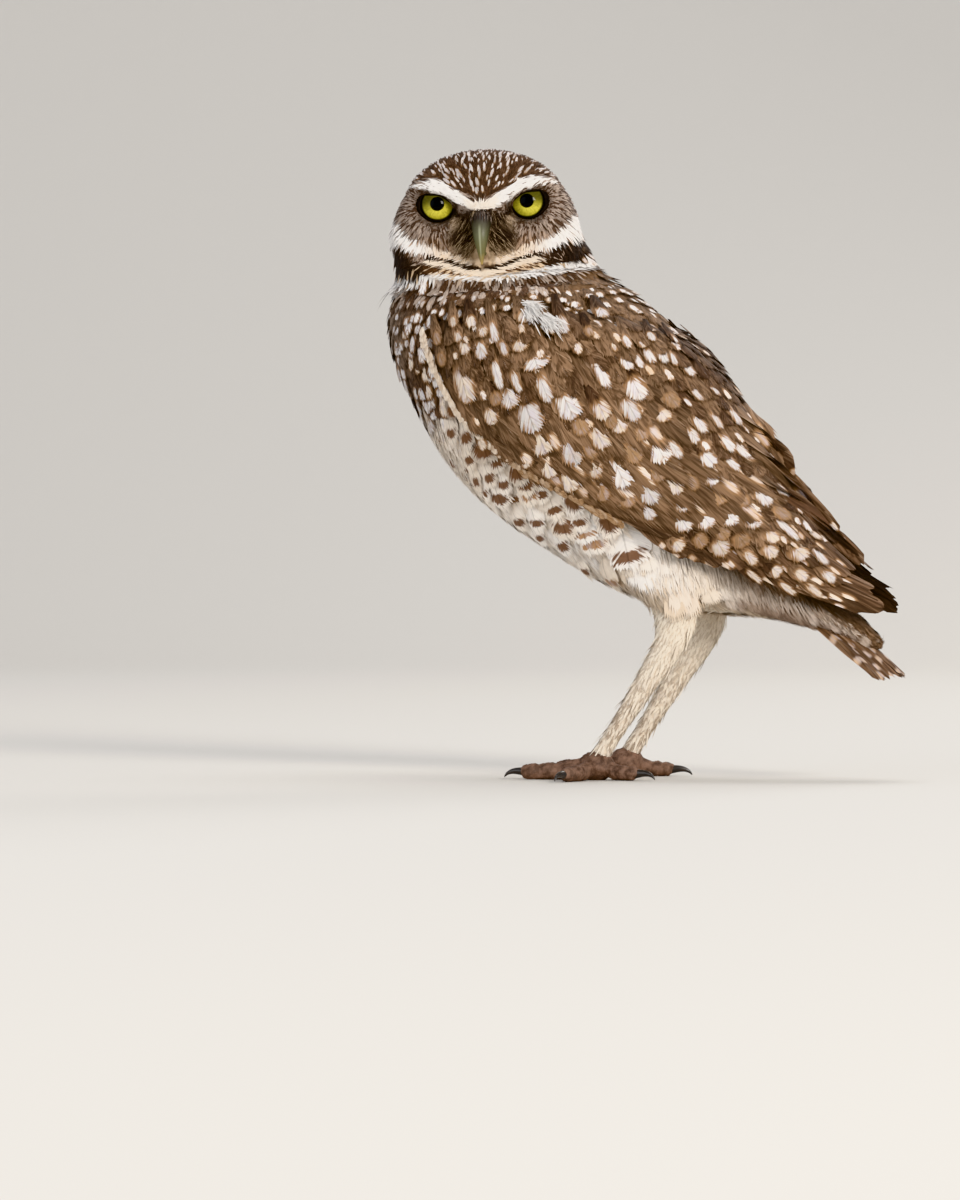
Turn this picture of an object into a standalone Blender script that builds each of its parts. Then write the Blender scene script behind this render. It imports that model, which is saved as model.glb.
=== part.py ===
"""Burrowing owl, life size, standing still with its head turned over its left shoulder.

The owl's breast points to -X and its left side to -Y. Numbers are millimetres until a mesh is made.
"""

import math
import random

import bmesh
import bpy
from mathutils import Matrix, Vector

MM = 0.001
GAP = 0.3  # between neighbouring pieces
LEFT = -1
RIGHT = 1

# The trunk, from the neck to the undertail: belly point (x, z), back point (x, z), half width
TRUNK = [
    (-72, 170, 0, 178, 27.0),
    (-75, 158, 8, 166, 31.0),
    (-74, 144, 20, 157, 34.0),
    (-68, 128, 31, 146, 35.5),
    (-59, 112, 41, 133, 35.5),
    (-48, 98, 50, 119, 34.5),
    (-35, 87, 58, 106, 32.0),
    (-20, 77, 65, 95, 29.0),
    (-3, 67, 70, 85, 25.5),
    (15, 59, 73, 78, 22.0),
    (36, 55, 75, 72, 17.5),
    (55, 54, 78, 67, 14.0),
    (70, 50.5, 83, 62.5, 13.0),
    (80, 48, 90, 57, 11.0),
    (87, 46, 95, 52, 7.5),
    (91, 44.5, 97, 48, 3.0),
]
NECK_END = 2.2  # places along the trunk, counted in sections
TAIL_START = 11.0

# The folded wings lie on this form, which keeps the trunk's front and runs on past its rear
CLOAK = TRUNK[:8] + [
    (3, 68, 71, 87, 26.5),
    (27, 62, 77, 80, 23.0),
    (51, 58, 84, 74, 18.5),
    (73, 53, 91, 69, 14.0),
    (92, 48, 99, 64, 10.5),
    (106, 44, 107, 59, 7.5),
]
WING_DEPTH = 3.2
WING_DEPTH_AT_NECK = 0.9
WING_FROM_MIDDLE = 0.2
WING_SEEDS = {LEFT: 2, RIGHT: 12}  # for the feathers' small differences
WRAP_FROM = 0.8  # share of the body's half depth past which feathers turn over the back
WRAP = 3.0

# Outline of a folded wing's body from the side, from the wrist round by the lower edge
WING_EDGE = [
    (-54, 151),
    (-50, 141),
    (-44, 129),
    (-36, 118),
    (-25, 109),
    (-12, 101),
    (3, 93),
    (18, 85),
    (34, 77),
    (52, 71),
    (68, 66),
    (80, 62.5),
    (88, 63),
    (91, 68),
    (86, 86),
    (60, 125),
    (36, 149),
    (18, 156),
    (-4, 159.5),
    (-28, 159),
    (-46, 156),
]

WHOLE_SIDE = [(-120, 0), (140, 0), (140, 260), (-120, 260)]  # a side view's whole field

# The room that the thighs leave free under the wings' lower edge
THIGH_LIMIT = [
    (-20, 98),
    (0, 86),
    (20, 76.5),
    (40, 68),
    (56, 62.5),
    (70, 58),
    (90, 52),
    (110, 52),
    (110, 130),
    (-20, 130),
]

HEAD_PLACE = Vector((-39.5, -1.5, 181.9))
HEAD_TURN = math.radians(14)  # from facing -Y, so the face looks back past the left shoulder
HEAD_LEAN = math.radians(-2.0)
HEAD_WIDE = 32.0
HEAD_UP = 28.0
HEAD_DOWN = 46.0
HEAD_BOTTOM = 163.2  # height of the cut between head and neck
HEAD_FRONT = 19.5
HEAD_BACK = 27.0
FACE_FLATNESS = 2.6

EYE_RADIUS = 6.6
EYE_PLACE = Vector((15.4, -10.0, 10.2))  # in the head's frame, mirrored for the other eye
LID_THICK = 1.0
EYE_OPENING = 5.6

BILL_PATH = [
    (0, -15, 5),
    (0, -20, 5),
    (0, -24.2, 3.6),
    (0, -27, 0.2),
    (0, -27.6, -4.2),
    (0, -26.6, -9.8),
]
BILL_RADII = [(3.9, 4.0), (3.9, 3.8), (3.6, 3.3), (3.0, 2.6), (2.1, 1.9), (0.35, 0.35)]
JAW_PATH = [(0, -17, -4.5), (0, -22, -6.2), (0, -25.4, -8.6)]
JAW_RADII = [(3.0, 1.8), (2.7, 1.7), (1.0, 0.7)]

LEG_SPREAD = 17.0
ANKLE = (31.5, 49.0)
FOOT = (5.0, 7.5)

FEATHERS = (0.30, 0.20, 0.13)
PALE = (0.78, 0.70, 0.60)


def clear_scene():
    for old in list(bpy.data.objects):
        bpy.data.objects.remove(old, do_unlink=True)


def finish(name, color, roughness):
    """A plain coat for one node."""
    made = bpy.data.materials.new(name)
    made.use_nodes = True
    shader = made.node_tree.nodes["Principled BSDF"]
    shader.inputs["Base Color"].default_value = (*color, 1.0)
    shader.inputs["Roughness"].default_value = roughness
    shader.inputs["Metallic"].default_value = 0.0
    return made


def solid(name, points, faces, where):
    """A mesh object from points in millimetres."""
    mesh = bpy.data.meshes.new(name)
    mesh.from_pydata([Vector(p) * MM for p in points], [], faces)
    made = bpy.data.objects.new(name, mesh)
    where.objects.link(made)
    return made


def face_outwards(made):
    shape = bmesh.new()
    shape.from_mesh(made.data)
    bmesh.ops.recalc_face_normals(shape, faces=shape.faces)
    shape.to_mesh(made.data)
    shape.free()
    return made


def loft(name, rings, where):
    """A closed skin over rings of equally many points, with a point at the middle of each end."""
    count = len(rings[0])
    points = [p for ring in rings for p in ring]
    first = len(points)
    points.append(sum(rings[0], Vector()) / count)
    points.append(sum(rings[-1], Vector()) / count)
    faces = []
    for row in range(len(rings) - 1):
        for i in range(count):
            j = (i + 1) % count
            a = row * count
            b = a + count
            faces.append((a + i, a + j, b + j, b + i))
    last = (len(rings) - 1) * count
    for i in range(count):
        j = (i + 1) % count
        faces.append((first, j, i))
        faces.append((first + 1, last + i, last + j))
    return face_outwards(solid(name, points, faces, where))


def through(values, place):
    """A smooth curve through equal-length tuples, read at a fractional index, straight past its ends."""
    top = len(values) - 1
    if place <= 0 or place >= top:
        near, inner = (0, 1) if place <= 0 else (top, top - 1)
        far = place if place <= 0 else place - top
        step = [(b - a) * (1 if place <= 0 else -1) for a, b in zip(values[near], values[inner])]
        return [a + s * far for a, s in zip(values[near], step)]
    i = min(int(place), top - 1)
    t = place - i
    before = values[max(i - 1, 0)]
    after = values[min(i + 2, top)]
    mixed = []
    for p0, p1, p2, p3 in zip(before, values[i], values[i + 1], after):
        bend = 2 * p0 - 5 * p1 + 4 * p2 - p3
        twist = 3 * (p1 - p2) + p3 - p0
        mixed.append(p1 + 0.5 * t * (p2 - p0 + t * (bend + t * twist)))
    return mixed


def section(form, place):
    """Centre, direction to the back, half depth and half width of a body form."""
    belly_x, belly_z, back_x, back_z, wide = through(form, place)
    centre = Vector(((belly_x + back_x) / 2, 0, (belly_z + back_z) / 2))
    across = Vector((back_x - belly_x, 0, back_z - belly_z))
    return centre, across.normalized(), across.length / 2, wide


def wing_depth(place):
    """The wing lies thinner on the body towards the neck."""
    t = max(0.0, min(1.0, (place - 0.7) / 2.3))
    return WING_DEPTH_AT_NECK + (WING_DEPTH - WING_DEPTH_AT_NECK) * t * t * (3 - 2 * t)


def wing_room_depth(place):
    return wing_depth(place) + 2.6


def body_ring(form, place, grow, sides):
    centre, up, deep, wide = section(form, place)
    if callable(grow):
        grow = grow(place)
    ring = []
    for i in range(sides):
        turn = 2 * math.pi * i / sides
        ring.append(
            centre + up * (deep + grow) * math.cos(turn) + Vector((0, (wide + grow) * math.sin(turn), 0))
        )
    return ring


def body(name, form, start, end, step, sides, grow, where):
    """A stretch of a body form, grown by some millimetres, with rings at whole steps."""
    places = [start]
    inner = (math.floor(start / step) + 1) * step
    while inner < end - 0.05:
        if inner > start + 0.05:
            places.append(inner)
        inner += step
    places.append(end)
    return loft(name, [body_ring(form, p, grow, sides) for p in places], where)


def on_wing(x, z, lift, side):
    """The point of a folded wing's surface seen at (x, z) from the side, wrapped on over the back."""
    spot = Vector((x, 0, z))
    low, high = -1.0, len(CLOAK) + 1.0
    for _ in range(30):
        middle = (low + high) / 2
        centre, up, deep, wide = section(CLOAK, middle)
        rearward = Vector((up.z, 0, -up.x))
        if (spot - centre).dot(rearward) > 0:
            low = middle
        else:
            high = middle
    share = (spot - centre).dot(up) / (deep + wing_depth(middle))
    bend = min(1.54, math.asin(max(-0.97, min(WRAP_FROM, share))) + max(0.0, share - WRAP_FROM) * WRAP)
    grow = wing_depth(middle) + lift
    outward = Vector((0, side * (wide + grow) * math.cos(bend), 0))
    return centre + up * (deep + grow) * math.sin(bend) + outward


def tube(name, path, radii, sides, where, across=Vector((0, 1, 0))):
    """A closed skin round a path; each radius pair is across and along the third direction."""
    path = [Vector(p) for p in path]
    rings = []
    for i, point in enumerate(path):
        ahead = path[min(i + 1, len(path) - 1)] - path[max(i - 1, 0)]
        ahead.normalize()
        wide = (across - ahead * across.dot(ahead)).normalized()
        tall = ahead.cross(wide)
        ring = []
        for k in range(sides):
            turn = 2 * math.pi * (k + 0.5) / sides
            a, b = radii[i]
            ring.append(point + wide * a * math.cos(turn) + tall * b * math.sin(turn))
        rings.append(ring)
    return loft(name, rings, where)


def ball(name, place, radius, where, segments=18, rings=11):
    """A round or oval closed form."""
    shape = bmesh.new()
    bmesh.ops.create_uvsphere(shape, u_segments=segments, v_segments=rings, radius=1.0)
    mesh = bpy.data.meshes.new(name)
    size = Vector(radius) if hasattr(radius, "__len__") else Vector((radius,) * 3)
    for vert in shape.verts:
        vert.co = (vert.co * size + Vector(place)) * MM
    shape.to_mesh(mesh)
    shape.free()
    made = bpy.data.objects.new(name, mesh)
    where.objects.link(made)
    return made


def slab(name, place, normal, thick, reach, where):
    """A flat box square to a direction, for a thin cut."""
    shape = bmesh.new()
    bmesh.ops.create_cube(shape, size=1.0)
    turn = Vector(normal).to_track_quat("Z", "Y").to_matrix().to_4x4()
    size = Matrix.Diagonal((reach * MM, reach * MM, thick * MM, 1.0))
    move = Matrix.Translation(Vector(place) * MM)
    bmesh.ops.transform(shape, matrix=move @ turn @ size, verts=shape.verts)
    mesh = bpy.data.meshes.new(name)
    shape.to_mesh(mesh)
    shape.free()
    made = bpy.data.objects.new(name, mesh)
    where.objects.link(made)
    return made


def prism(name, outline, near, far, where):
    """A side-view outline run across the body from one Y to another."""
    count = len(outline)
    points = [Vector((x, near, z)) for x, z in outline] + [Vector((x, far, z)) for x, z in outline]
    faces = [tuple(range(count)), tuple(range(2 * count - 1, count - 1, -1))]
    for i in range(count):
        j = (i + 1) % count
        faces.append((i, j, count + j, count + i))
    return face_outwards(solid(name, points, faces, where))


def combine(target, others, operation):
    """Joins or cuts with closed meshes in one Boolean, and removes them."""
    tools = bpy.data.collections.new("tools")
    bpy.context.scene.collection.children.link(tools)
    for other in others:
        for holder in list(other.users_collection):
            holder.objects.unlink(other)
        tools.objects.link(other)
    step = target.modifiers.new(operation, "BOOLEAN")
    step.operation = operation
    step.operand_type = "COLLECTION"
    step.collection = tools
    step.solver = "MANIFOLD"
    bpy.context.view_layer.update()
    graph = bpy.context.evaluated_depsgraph_get()
    result = bpy.data.meshes.new_from_object(target.evaluated_get(graph))
    target.modifiers.clear()
    old = target.data
    target.data = result
    bpy.data.meshes.remove(old)
    for other in others:
        bpy.data.objects.remove(other, do_unlink=True)
    bpy.data.collections.remove(tools)
    return target


def keep_largest(target):
    """Leaves only the closed surface that spans the most space."""
    shape = bmesh.new()
    shape.from_mesh(target.data)
    waiting = set(shape.faces)
    shells = []
    while waiting:
        front = [waiting.pop()]
        shell = list(front)
        while front:
            for edge in front.pop().edges:
                for other in edge.link_faces:
                    if other in waiting:
                        waiting.remove(other)
                        front.append(other)
                        shell.append(other)
        shells.append(shell)

    def space(shell):
        return sum(face.calc_area() * face.calc_center_median().dot(face.normal) for face in shell)

    shape.normal_update()
    shells.sort(key=space)
    spare = [face for shell in shells[:-1] for face in shell]
    bmesh.ops.delete(shape, geom=spare, context="FACES")
    shape.to_mesh(target.data)
    shape.free()
    return target


def node(made, name, coat, parts):
    """Gives a finished piece its name, finish and shading."""
    for holder in list(made.users_collection):
        holder.objects.unlink(made)
    parts.objects.link(made)
    made.name = name
    made.data.name = name
    made.data.materials.clear()
    made.data.materials.append(coat)
    made.data.shade_smooth()
    made.data.set_sharp_from_angle(angle=math.radians(40))
    return made


def mix(a, b, share):
    return [p + (q - p) * share for p, q in zip(a, b)]


def along(line, share):
    """A point on a smooth line of (x, z) places, from 0 at its start to 1 at its end."""
    return through(line, share * (len(line) - 1))


def feather_sheet(name, feathers, over, row, surface, where):
    """A tier of overlapping feathers as one closed mesh, with a step where one lies over the next.

    Each feather is a root, a tip and a width on a flat map that the surface function turns into points.
    Where over[i] is True, feather i + 1 lies over feather i; otherwise it lies under it.
    """
    count = len(feathers)
    shares = [0.0, 0.55 * row["notch"], row["notch"]]
    across = []
    for root, tip, wide in feathers:
        run = Vector((tip[0] - root[0], tip[1] - root[1])).normalized()
        side = Vector((-run.y, run.x))
        onward = Vector(feathers[-1][1]) - Vector(feathers[0][1])
        across.append(side if side.dot(onward) > 0 else -side)

    def edge(i, share, sign, narrow):
        root, tip, wide = feathers[i]
        spot = Vector(root).lerp(Vector(tip), share)
        return spot + across[i] * sign * wide * narrow / 2

    def height(share, raised):
        ease = row["sunk"] + (row["lift"] - row["sunk"]) * share ** 0.7
        return ease + raised * row["rise"] * (0.25 + 0.75 * share)

    def floor(share):
        return row["sunk"] - 0.6 + (row["under"] - row["sunk"] + 0.6) * share

    def seam(i, share):
        """Where feather i - 1 meets feather i."""
        narrow = 0.72 + 0.28 * min(1.0, share / shares[1])
        if i == 0:
            return edge(0, share, -1, narrow)
        if i == count:
            return edge(count - 1, share, 1, narrow)
        return (edge(i - 1, share, 1, narrow) + edge(i, share, -1, narrow)) / 2

    points = []

    def put(spot, lift, i):
        points.append(surface(spot[0], spot[1], lift + row["climb"] * i))
        return len(points) - 1

    starts, middles, ends = [], [], []
    for i in range(count):
        left_rise = -0.5 if i > 0 and not over[i - 1] else 0.5
        right_rise = -0.5 if i < count - 1 and over[i] else 0.5
        starts.append([put(seam(i, t), height(t, left_rise), i - 0.5) for t in shares])
        middles.append([put((seam(i, t) + seam(i + 1, t)) / 2, height(t, 0.45), i) for t in shares])
        ends.append([put(seam(i + 1, t), height(t, right_rise), i + 0.5) for t in shares])
    unders = [[put(seam(i, t), floor(t), i - 0.5) for t in shares] for i in range(count + 1)]

    faces = []
    last = len(shares) - 1
    for k in range(last):
        for i in range(count):
            faces.append((starts[i][k], middles[i][k], middles[i][k + 1], starts[i][k + 1]))
            faces.append((middles[i][k], ends[i][k], ends[i][k + 1], middles[i][k + 1]))
            faces.append((unders[i][k], unders[i][k + 1], unders[i + 1][k + 1], unders[i + 1][k]))
            if i < count - 1:
                faces.append((ends[i][k], starts[i + 1][k], starts[i + 1][k + 1], ends[i][k + 1]))
        faces.append((unders[0][k], starts[0][k], starts[0][k + 1], unders[0][k + 1]))
        faces.append((ends[-1][k], unders[-1][k], unders[-1][k + 1], ends[-1][k + 1]))

    rim = []
    for i in range(count):
        rim += [starts[i][0], middles[i][0], ends[i][0]]
    faces.append(tuple(rim + [u[0] for u in reversed(unders)]))

    for i in range(count):
        bend = row["notch"] + (1 - row["notch"]) * 0.72
        narrow = row["shoulder"]
        spots = [edge(i, bend, -1, narrow), edge(i, 1.0, 0, 0), edge(i, bend, 1, narrow)]
        tops = [put(spot, height(share, 0.3), i) for spot, share in zip(spots, (bend, 1.0, bend))]
        lows = [put(spot, floor(share), i) for spot, share in zip(spots, (bend, 1.0, bend))]
        left, middle, right = starts[i][last], middles[i][last], ends[i][last]
        faces += [(left, middle, tops[0]), (middle, tops[1], tops[0]), (middle, tops[2], tops[1])]
        faces.append((middle, right, tops[2]))
        base = [unders[i][last], lows[0], lows[1], lows[2], unders[i + 1][last]]
        faces += [(base[0], base[1], base[4]), (base[1], base[3], base[4]), (base[1], base[2], base[3])]
        faces += [(tops[0], tops[1], lows[1], lows[0]), (tops[1], tops[2], lows[2], lows[1])]
        left_wall = [left, tops[0], lows[0], base[0]]
        right_wall = [tops[2], right, base[4], lows[2]]
        if i > 0 and over[i - 1]:
            left_wall.append(ends[i - 1][last])
        if i < count - 1 and not over[i]:
            right_wall.insert(2, starts[i + 1][last])
        faces += [tuple(left_wall), tuple(right_wall)]

    made = face_outwards(solid(name, points, faces, where))
    shape = bmesh.new()
    shape.from_mesh(made.data)
    bmesh.ops.triangulate(shape, faces=shape.faces)
    shape.to_mesh(made.data)
    shape.free()
    return made


# Tiers of the folded wing, (x, z) from the side; the later tiers lie over the earlier ones
WING_TIERS = [
    dict(name="primaries", count=6, roots=[(14, 88), (30, 94)], tips=[(90, 56.0), (101, 56.6), (98, 66)],
         wide=8.0, sunk=-2.2, lift=-1.9, rise=0.7, climb=0.28, under=-3.4, shoulder=0.6, notch=0.86),
    dict(name="secondaries", count=7, roots=[(6, 97), (22, 108), (50, 118)],
         tips=[(56, 67.5), (78, 63.0), (91, 66), (91, 76)],
         wide=10.5, sunk=-1.4, lift=0.3, rise=0.7, climb=0.0, under=-1.1, shoulder=0.66, notch=0.87),
    dict(name="primary_coverts", count=4, roots=[(-29, 114), (-4, 102)], tips=[(10, 88.5), (44, 73.5)],
         wide=9.5, sunk=-1.2, lift=0.4, rise=0.7, climb=0.0, under=-1.0, shoulder=0.7, notch=0.84),
    dict(name="greater_coverts", count=7, roots=[(-24, 117), (6, 125), (36, 134)],
         tips=[(8, 92), (40, 84), (74, 92)],
         wide=11.5, sunk=-1.4, lift=0.9, rise=0.8, climb=0.0, under=-0.8, shoulder=0.74, notch=0.82),
    dict(name="middle_coverts", count=6, roots=[(-44, 136), (-18, 146), (6, 150)],
         tips=[(-27, 112), (0, 107), (30, 112)],
         wide=11.5, sunk=-1.3, lift=1.2, rise=0.8, climb=0.0, under=-0.8, shoulder=0.76, notch=0.8),
    dict(name="lesser_coverts", count=5, roots=[(-50, 151), (-32, 156), (-12, 157)],
         tips=[(-42, 131), (-24, 127), (0, 131)],
         wide=11.0, sunk=-1.2, lift=1.5, rise=0.7, climb=0.0, under=-0.7, shoulder=0.78, notch=0.78),
    dict(name="scapulars", count=6, roots=[(-12, 156), (12, 153), (34, 144)],
         tips=[(16, 129), (44, 116), (70, 98)],
         wide=13.5, sunk=-1.2, lift=1.8, rise=0.8, climb=0.0, under=-0.8, shoulder=0.74, notch=0.8),
]


def wing_tier(row, side, draw, where):
    """One tier of the wing, each feather a little longer or shorter than its neighbour."""
    feathers = []
    for i in range(row["count"]):
        share = i / (row["count"] - 1)
        root = along(row["roots"], share)
        tip = mix(root, along(row["tips"], share), draw.uniform(0.97, 1.03))
        feathers.append((root, tip, row["wide"] * draw.uniform(0.94, 1.06)))
    over = [True] * (row["count"] - 1)

    def surface(x, z, lift):
        return on_wing(x, z, lift, side)

    return feather_sheet(row["name"], feathers, over, row, surface, where)


def wing(side, parts, tools):
    """A folded wing: a thin shell on the flank that carries its tiers of feathers."""
    name = "wing_left" if side == LEFT else "wing_right"
    shell = body(name, CLOAK, 0.2, 12.6, 0.8, 20, wing_depth, tools)
    inside = body("inside", CLOAK, -0.5, 13.5, 0.5, 24, GAP + 0.2, tools)
    combine(shell, [inside], "DIFFERENCE")
    halfway = side * WING_FROM_MIDDLE
    combine(shell, [prism("outline", WING_EDGE, halfway, side * 60, tools)], "INTERSECT")
    draw = random.Random(WING_SEEDS[side])
    feathers = []
    for tier in WING_TIERS:
        feathers.append(wing_tier(tier, side, draw, tools))
    combine(shell, feathers, "UNION")
    halfway = side * WING_FROM_MIDDLE
    middle = prism("middle", WHOLE_SIDE, halfway, -side * 90, tools)
    room = body("trunk_room", TRUNK, -0.5, 14.0, 0.5, 24, GAP, tools)
    combine(shell, [middle, room, tail_form("tail_room", GAP + 0.25, tools)], "DIFFERENCE")
    return keep_largest(shell)


TAIL_ROOT = Vector((64, 0, 66))
TAIL_TIP = Vector((105.5, 0, 36))
TAIL_ALONG = (TAIL_TIP - TAIL_ROOT).normalized()
TAIL_UP = Vector((-TAIL_ALONG.z, 0, TAIL_ALONG.x))
TAIL_LENGTH = (TAIL_TIP - TAIL_ROOT).length
TAIL_COUNT = 11
TAIL_SPREAD = 14.0  # from the middle to the outermost feather's axis, at the tip
TAIL_DROP = 3.6  # how far the outermost feather lies below the middle one
TAIL_BOW = 1.8
TAIL_ROW = dict(sunk=0.0, lift=0.0, rise=0.6, climb=0.0, under=-0.9, shoulder=0.74, notch=0.91)


def tail_point(sideways, reach, lift):
    """A point of the folded tail, its middle feather on top and the others stepping down."""
    t = reach / TAIL_LENGTH
    share = min(1.0, abs(sideways) / (TAIL_SPREAD * (0.18 + 0.82 * max(t, 0))))
    rise = TAIL_BOW * math.sin(math.pi * max(0.0, min(1.0, t))) - TAIL_DROP * share
    return TAIL_ROOT + TAIL_ALONG * reach + Vector((0, sideways, 0)) + TAIL_UP * (rise + lift)


def tail_sheet(where):
    feathers = []
    for i in range(TAIL_COUNT):
        share = 2 * i / (TAIL_COUNT - 1) - 1
        tip = (share * TAIL_SPREAD, TAIL_LENGTH * (1 - 0.05 * share * share))
        feathers.append(((share * TAIL_SPREAD * 0.18, 0), tip, 4.4))
    over = [i < TAIL_COUNT // 2 for i in range(TAIL_COUNT - 1)]
    return feather_sheet("tail_feathers", feathers, over, TAIL_ROW, tail_point, where)


def tail_form(name, grow, where):
    """The space that the folded tail fills, grown by some millimetres."""
    rings = []
    for t in (-0.12, 0.25, 0.5, 0.75, 1.06):
        wide = TAIL_SPREAD * (0.18 + 0.82 * max(t, 0)) + 2.4 + grow
        reach = t * TAIL_LENGTH
        rings.append([
            tail_point(-wide * 0.35, reach, 0.6 + grow),
            tail_point(wide * 0.35, reach, 0.6 + grow),
            tail_point(wide, reach, 0.6 + grow),
            tail_point(wide, reach, -1.0 - grow),
            tail_point(0, reach, -1.0 - TAIL_DROP - grow),
            tail_point(-wide, reach, -1.0 - grow),
            tail_point(-wide, reach, 0.6 + grow),
        ])
    return loft(name, rings, where)


def head_turn():
    return (
        Matrix.Translation(HEAD_PLACE * MM)
        @ Matrix.Rotation(HEAD_TURN, 4, "Z")
        @ Matrix.Rotation(HEAD_LEAN, 4, "Y")
    )


def line_distance(x, z, line):
    """How far a face point is from a broken line."""
    spot = Vector((x, z))
    best = 1e9
    for (ax, az), (bx, bz) in zip(line, line[1:]):
        start = Vector((ax, az))
        run = Vector((bx, bz)) - start
        share = max(0.0, min(1.0, (spot - start).dot(run) / run.length_squared))
        best = min(best, (spot - start - run * share).length)
    return best


def bump(distance, size):
    return math.exp(-((distance / size) ** 2))


def face_relief(x, z):
    """How far the face stands out of the head's plain form, at a place seen from the front."""
    x = abs(x)
    brow = 3.2 * bump(line_distance(x, z, [(2, 9.2), (11.7, 13.1), (19, 16.5), (25.5, 18.2)]), 3.5)
    hollow = -1.4 * bump(math.hypot(x - EYE_PLACE.x, z - EYE_PLACE.z + 2), 8.0)
    bridge = 1.5 * bump(x, 4.0) * bump(z - 9, 7.0)
    bristles = 4.0 * bump(x, 9.5) * bump(z + 4.0, 8.0)
    rim = 1.4 * bump(math.hypot(x - 11.5, z - 5.0) - 20.5, 3.0)
    chin = 1.6 * bump(line_distance(x, z, [(0, -13.8), (14, -12), (26, -6)]), 3.0)
    return brow + hollow + bridge + bristles + rim + chin


def face_point(x, z):
    """The point of the face at a place seen from the front."""
    flat = min(1.0, math.hypot(x / HEAD_WIDE, z / (HEAD_UP if z > 0 else HEAD_DOWN)))
    front = HEAD_FRONT * (1 - flat ** FACE_FLATNESS) ** (1 / FACE_FLATNESS)
    near_face = min(1.0, front / (0.45 * HEAD_FRONT))
    return Vector((x, -front - face_relief(x, z) * near_face, z))


def head_point(polar, around):
    """A point of the head, in its own frame with the face towards -Y."""
    flat = math.sin(polar)
    x = HEAD_WIDE * flat * math.cos(around)
    high = flat * math.sin(around)
    z = high * (HEAD_UP if high > 0 else HEAD_DOWN)
    if polar > math.pi / 2:
        return Vector((x, -HEAD_BACK * math.cos(polar), z))
    return face_point(x, z)


def head_form(where):
    spokes = 40
    rings = []
    angles = [5 * i for i in range(1, 17)] + [86, 93, 102, 113, 126, 140, 155, 170]
    for angle in angles:
        ring = []
        for k in range(spokes):
            ring.append(head_point(math.radians(angle), 2 * math.pi * k / spokes))
        rings.append(ring)
    return loft("head", rings, where)


def eye_outline():
    """The opening between the lids, seen from the front, for the eye on the +X side."""
    points = []
    for k in range(18):
        turn = 2 * math.pi * k / 18
        x = EYE_OPENING * math.cos(turn)
        z = EYE_OPENING * math.sin(turn) * (1.0 if math.sin(turn) > 0 else 0.85)
        upper_lid = 3.1 + 0.1 * x - 0.28 * max(0.0, -x - 0.5) ** 1.5
        points.append((x, min(z, upper_lid)))
    return points


def eye_opening(place, side):
    """Rings for the cut: straight through the lids, then flared below and beside the brow."""
    rings = []
    for forward, flare in ((2, 1.0), (5.2, 1.0), (20, 2.3)):
        ring = []
        for x, z in eye_outline():
            high = z if z > 0 else z * flare
            across = side * x * (flare if x < 0 else 1 + 0.4 * (flare - 1))
            ring.append(Vector((place.x + across, place.y - forward, place.z + high)))
        rings.append(ring)
    return rings


MOUTH = [(-17, -5.9), (-10, -8.6), (-3, -11.2), (3, -11.2), (10, -8.6), (17, -5.9)]


def head_cut(place, where):
    """Room for everything below or above the cut between head and neck."""
    return slab("head_cut", (0, 0, place), (0, 0, 1), 80, 400, where)


def head(parts, tools):
    """Head, eyes and bill, made facing -Y and then turned."""
    skull = head_form(tools)
    lids = []
    openings = []
    eyes = []
    for side, name in ((1, "eye_left"), (-1, "eye_right")):
        place = Vector((EYE_PLACE.x * side, EYE_PLACE.y, EYE_PLACE.z))
        lids.append(ball("lid", place, EYE_RADIUS + LID_THICK, tools))
        openings.append(ball("socket", place, EYE_RADIUS + GAP, tools, 20, 12))
        openings.append(loft("opening", eye_opening(place, side), tools))
        eyes.append((ball(name, place, EYE_RADIUS, tools, 20, 12), name))
    combine(skull, lids, "UNION")

    def wider(radii, grow):
        return [(a + grow, b + grow) for a, b in radii]

    bill_room = tube("bill_room", BILL_PATH, wider(BILL_RADII, GAP), 12, tools, Vector((1, 0, 0)))
    jaw_room = tube("jaw_room", JAW_PATH, wider(JAW_RADII, GAP), 10, tools, Vector((1, 0, 0)))
    corner, slit = (0.5, 0.5), (0.8, 0.8)
    mouth_line = [face_point(x, z) for x, z in MOUTH]
    mouth = tube("mouth", mouth_line, [corner] + [slit] * 4 + [corner], 6, tools)
    combine(skull, openings + [bill_room, jaw_room, mouth], "DIFFERENCE")
    keep_largest(skull)

    bill = tube("bill_upper", BILL_PATH, BILL_RADII, 12, tools, Vector((1, 0, 0)))
    nostrils = []
    for side in (-1, 1):
        nostrils.append(ball("nostril", (side * 3.6, -23.2, 5.0), (1.1, 1.1, 0.9), tools, 10, 8))
    combine(bill, nostrils, "DIFFERENCE")
    jaw = tube("bill_lower", JAW_PATH, JAW_RADII, 10, tools, Vector((1, 0, 0)))
    bill_gap = tube("bill_gap", BILL_PATH, wider(BILL_RADII, GAP), 12, tools, Vector((1, 0, 0)))
    combine(jaw, [bill_gap], "DIFFERENCE")
    keep_largest(jaw)

    for made in (skull, bill, jaw, eyes[0][0], eyes[1][0]):
        made.data.transform(head_turn())
    combine(skull, [head_cut(HEAD_BOTTOM - 40, tools)], "DIFFERENCE")
    feathers = finish("head_feathers", FEATHERS, 0.85)
    horn = finish("bill_horn", (0.42, 0.43, 0.33), 0.35)
    eye = finish("eye_gloss", (0.75, 0.62, 0.05), 0.1)
    node(skull, "head", feathers, parts)
    node(bill, "bill_upper", horn, parts)
    node(jaw, "bill_lower", horn, parts)
    for made, name in eyes:
        node(made, name, eye, parts)


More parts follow.
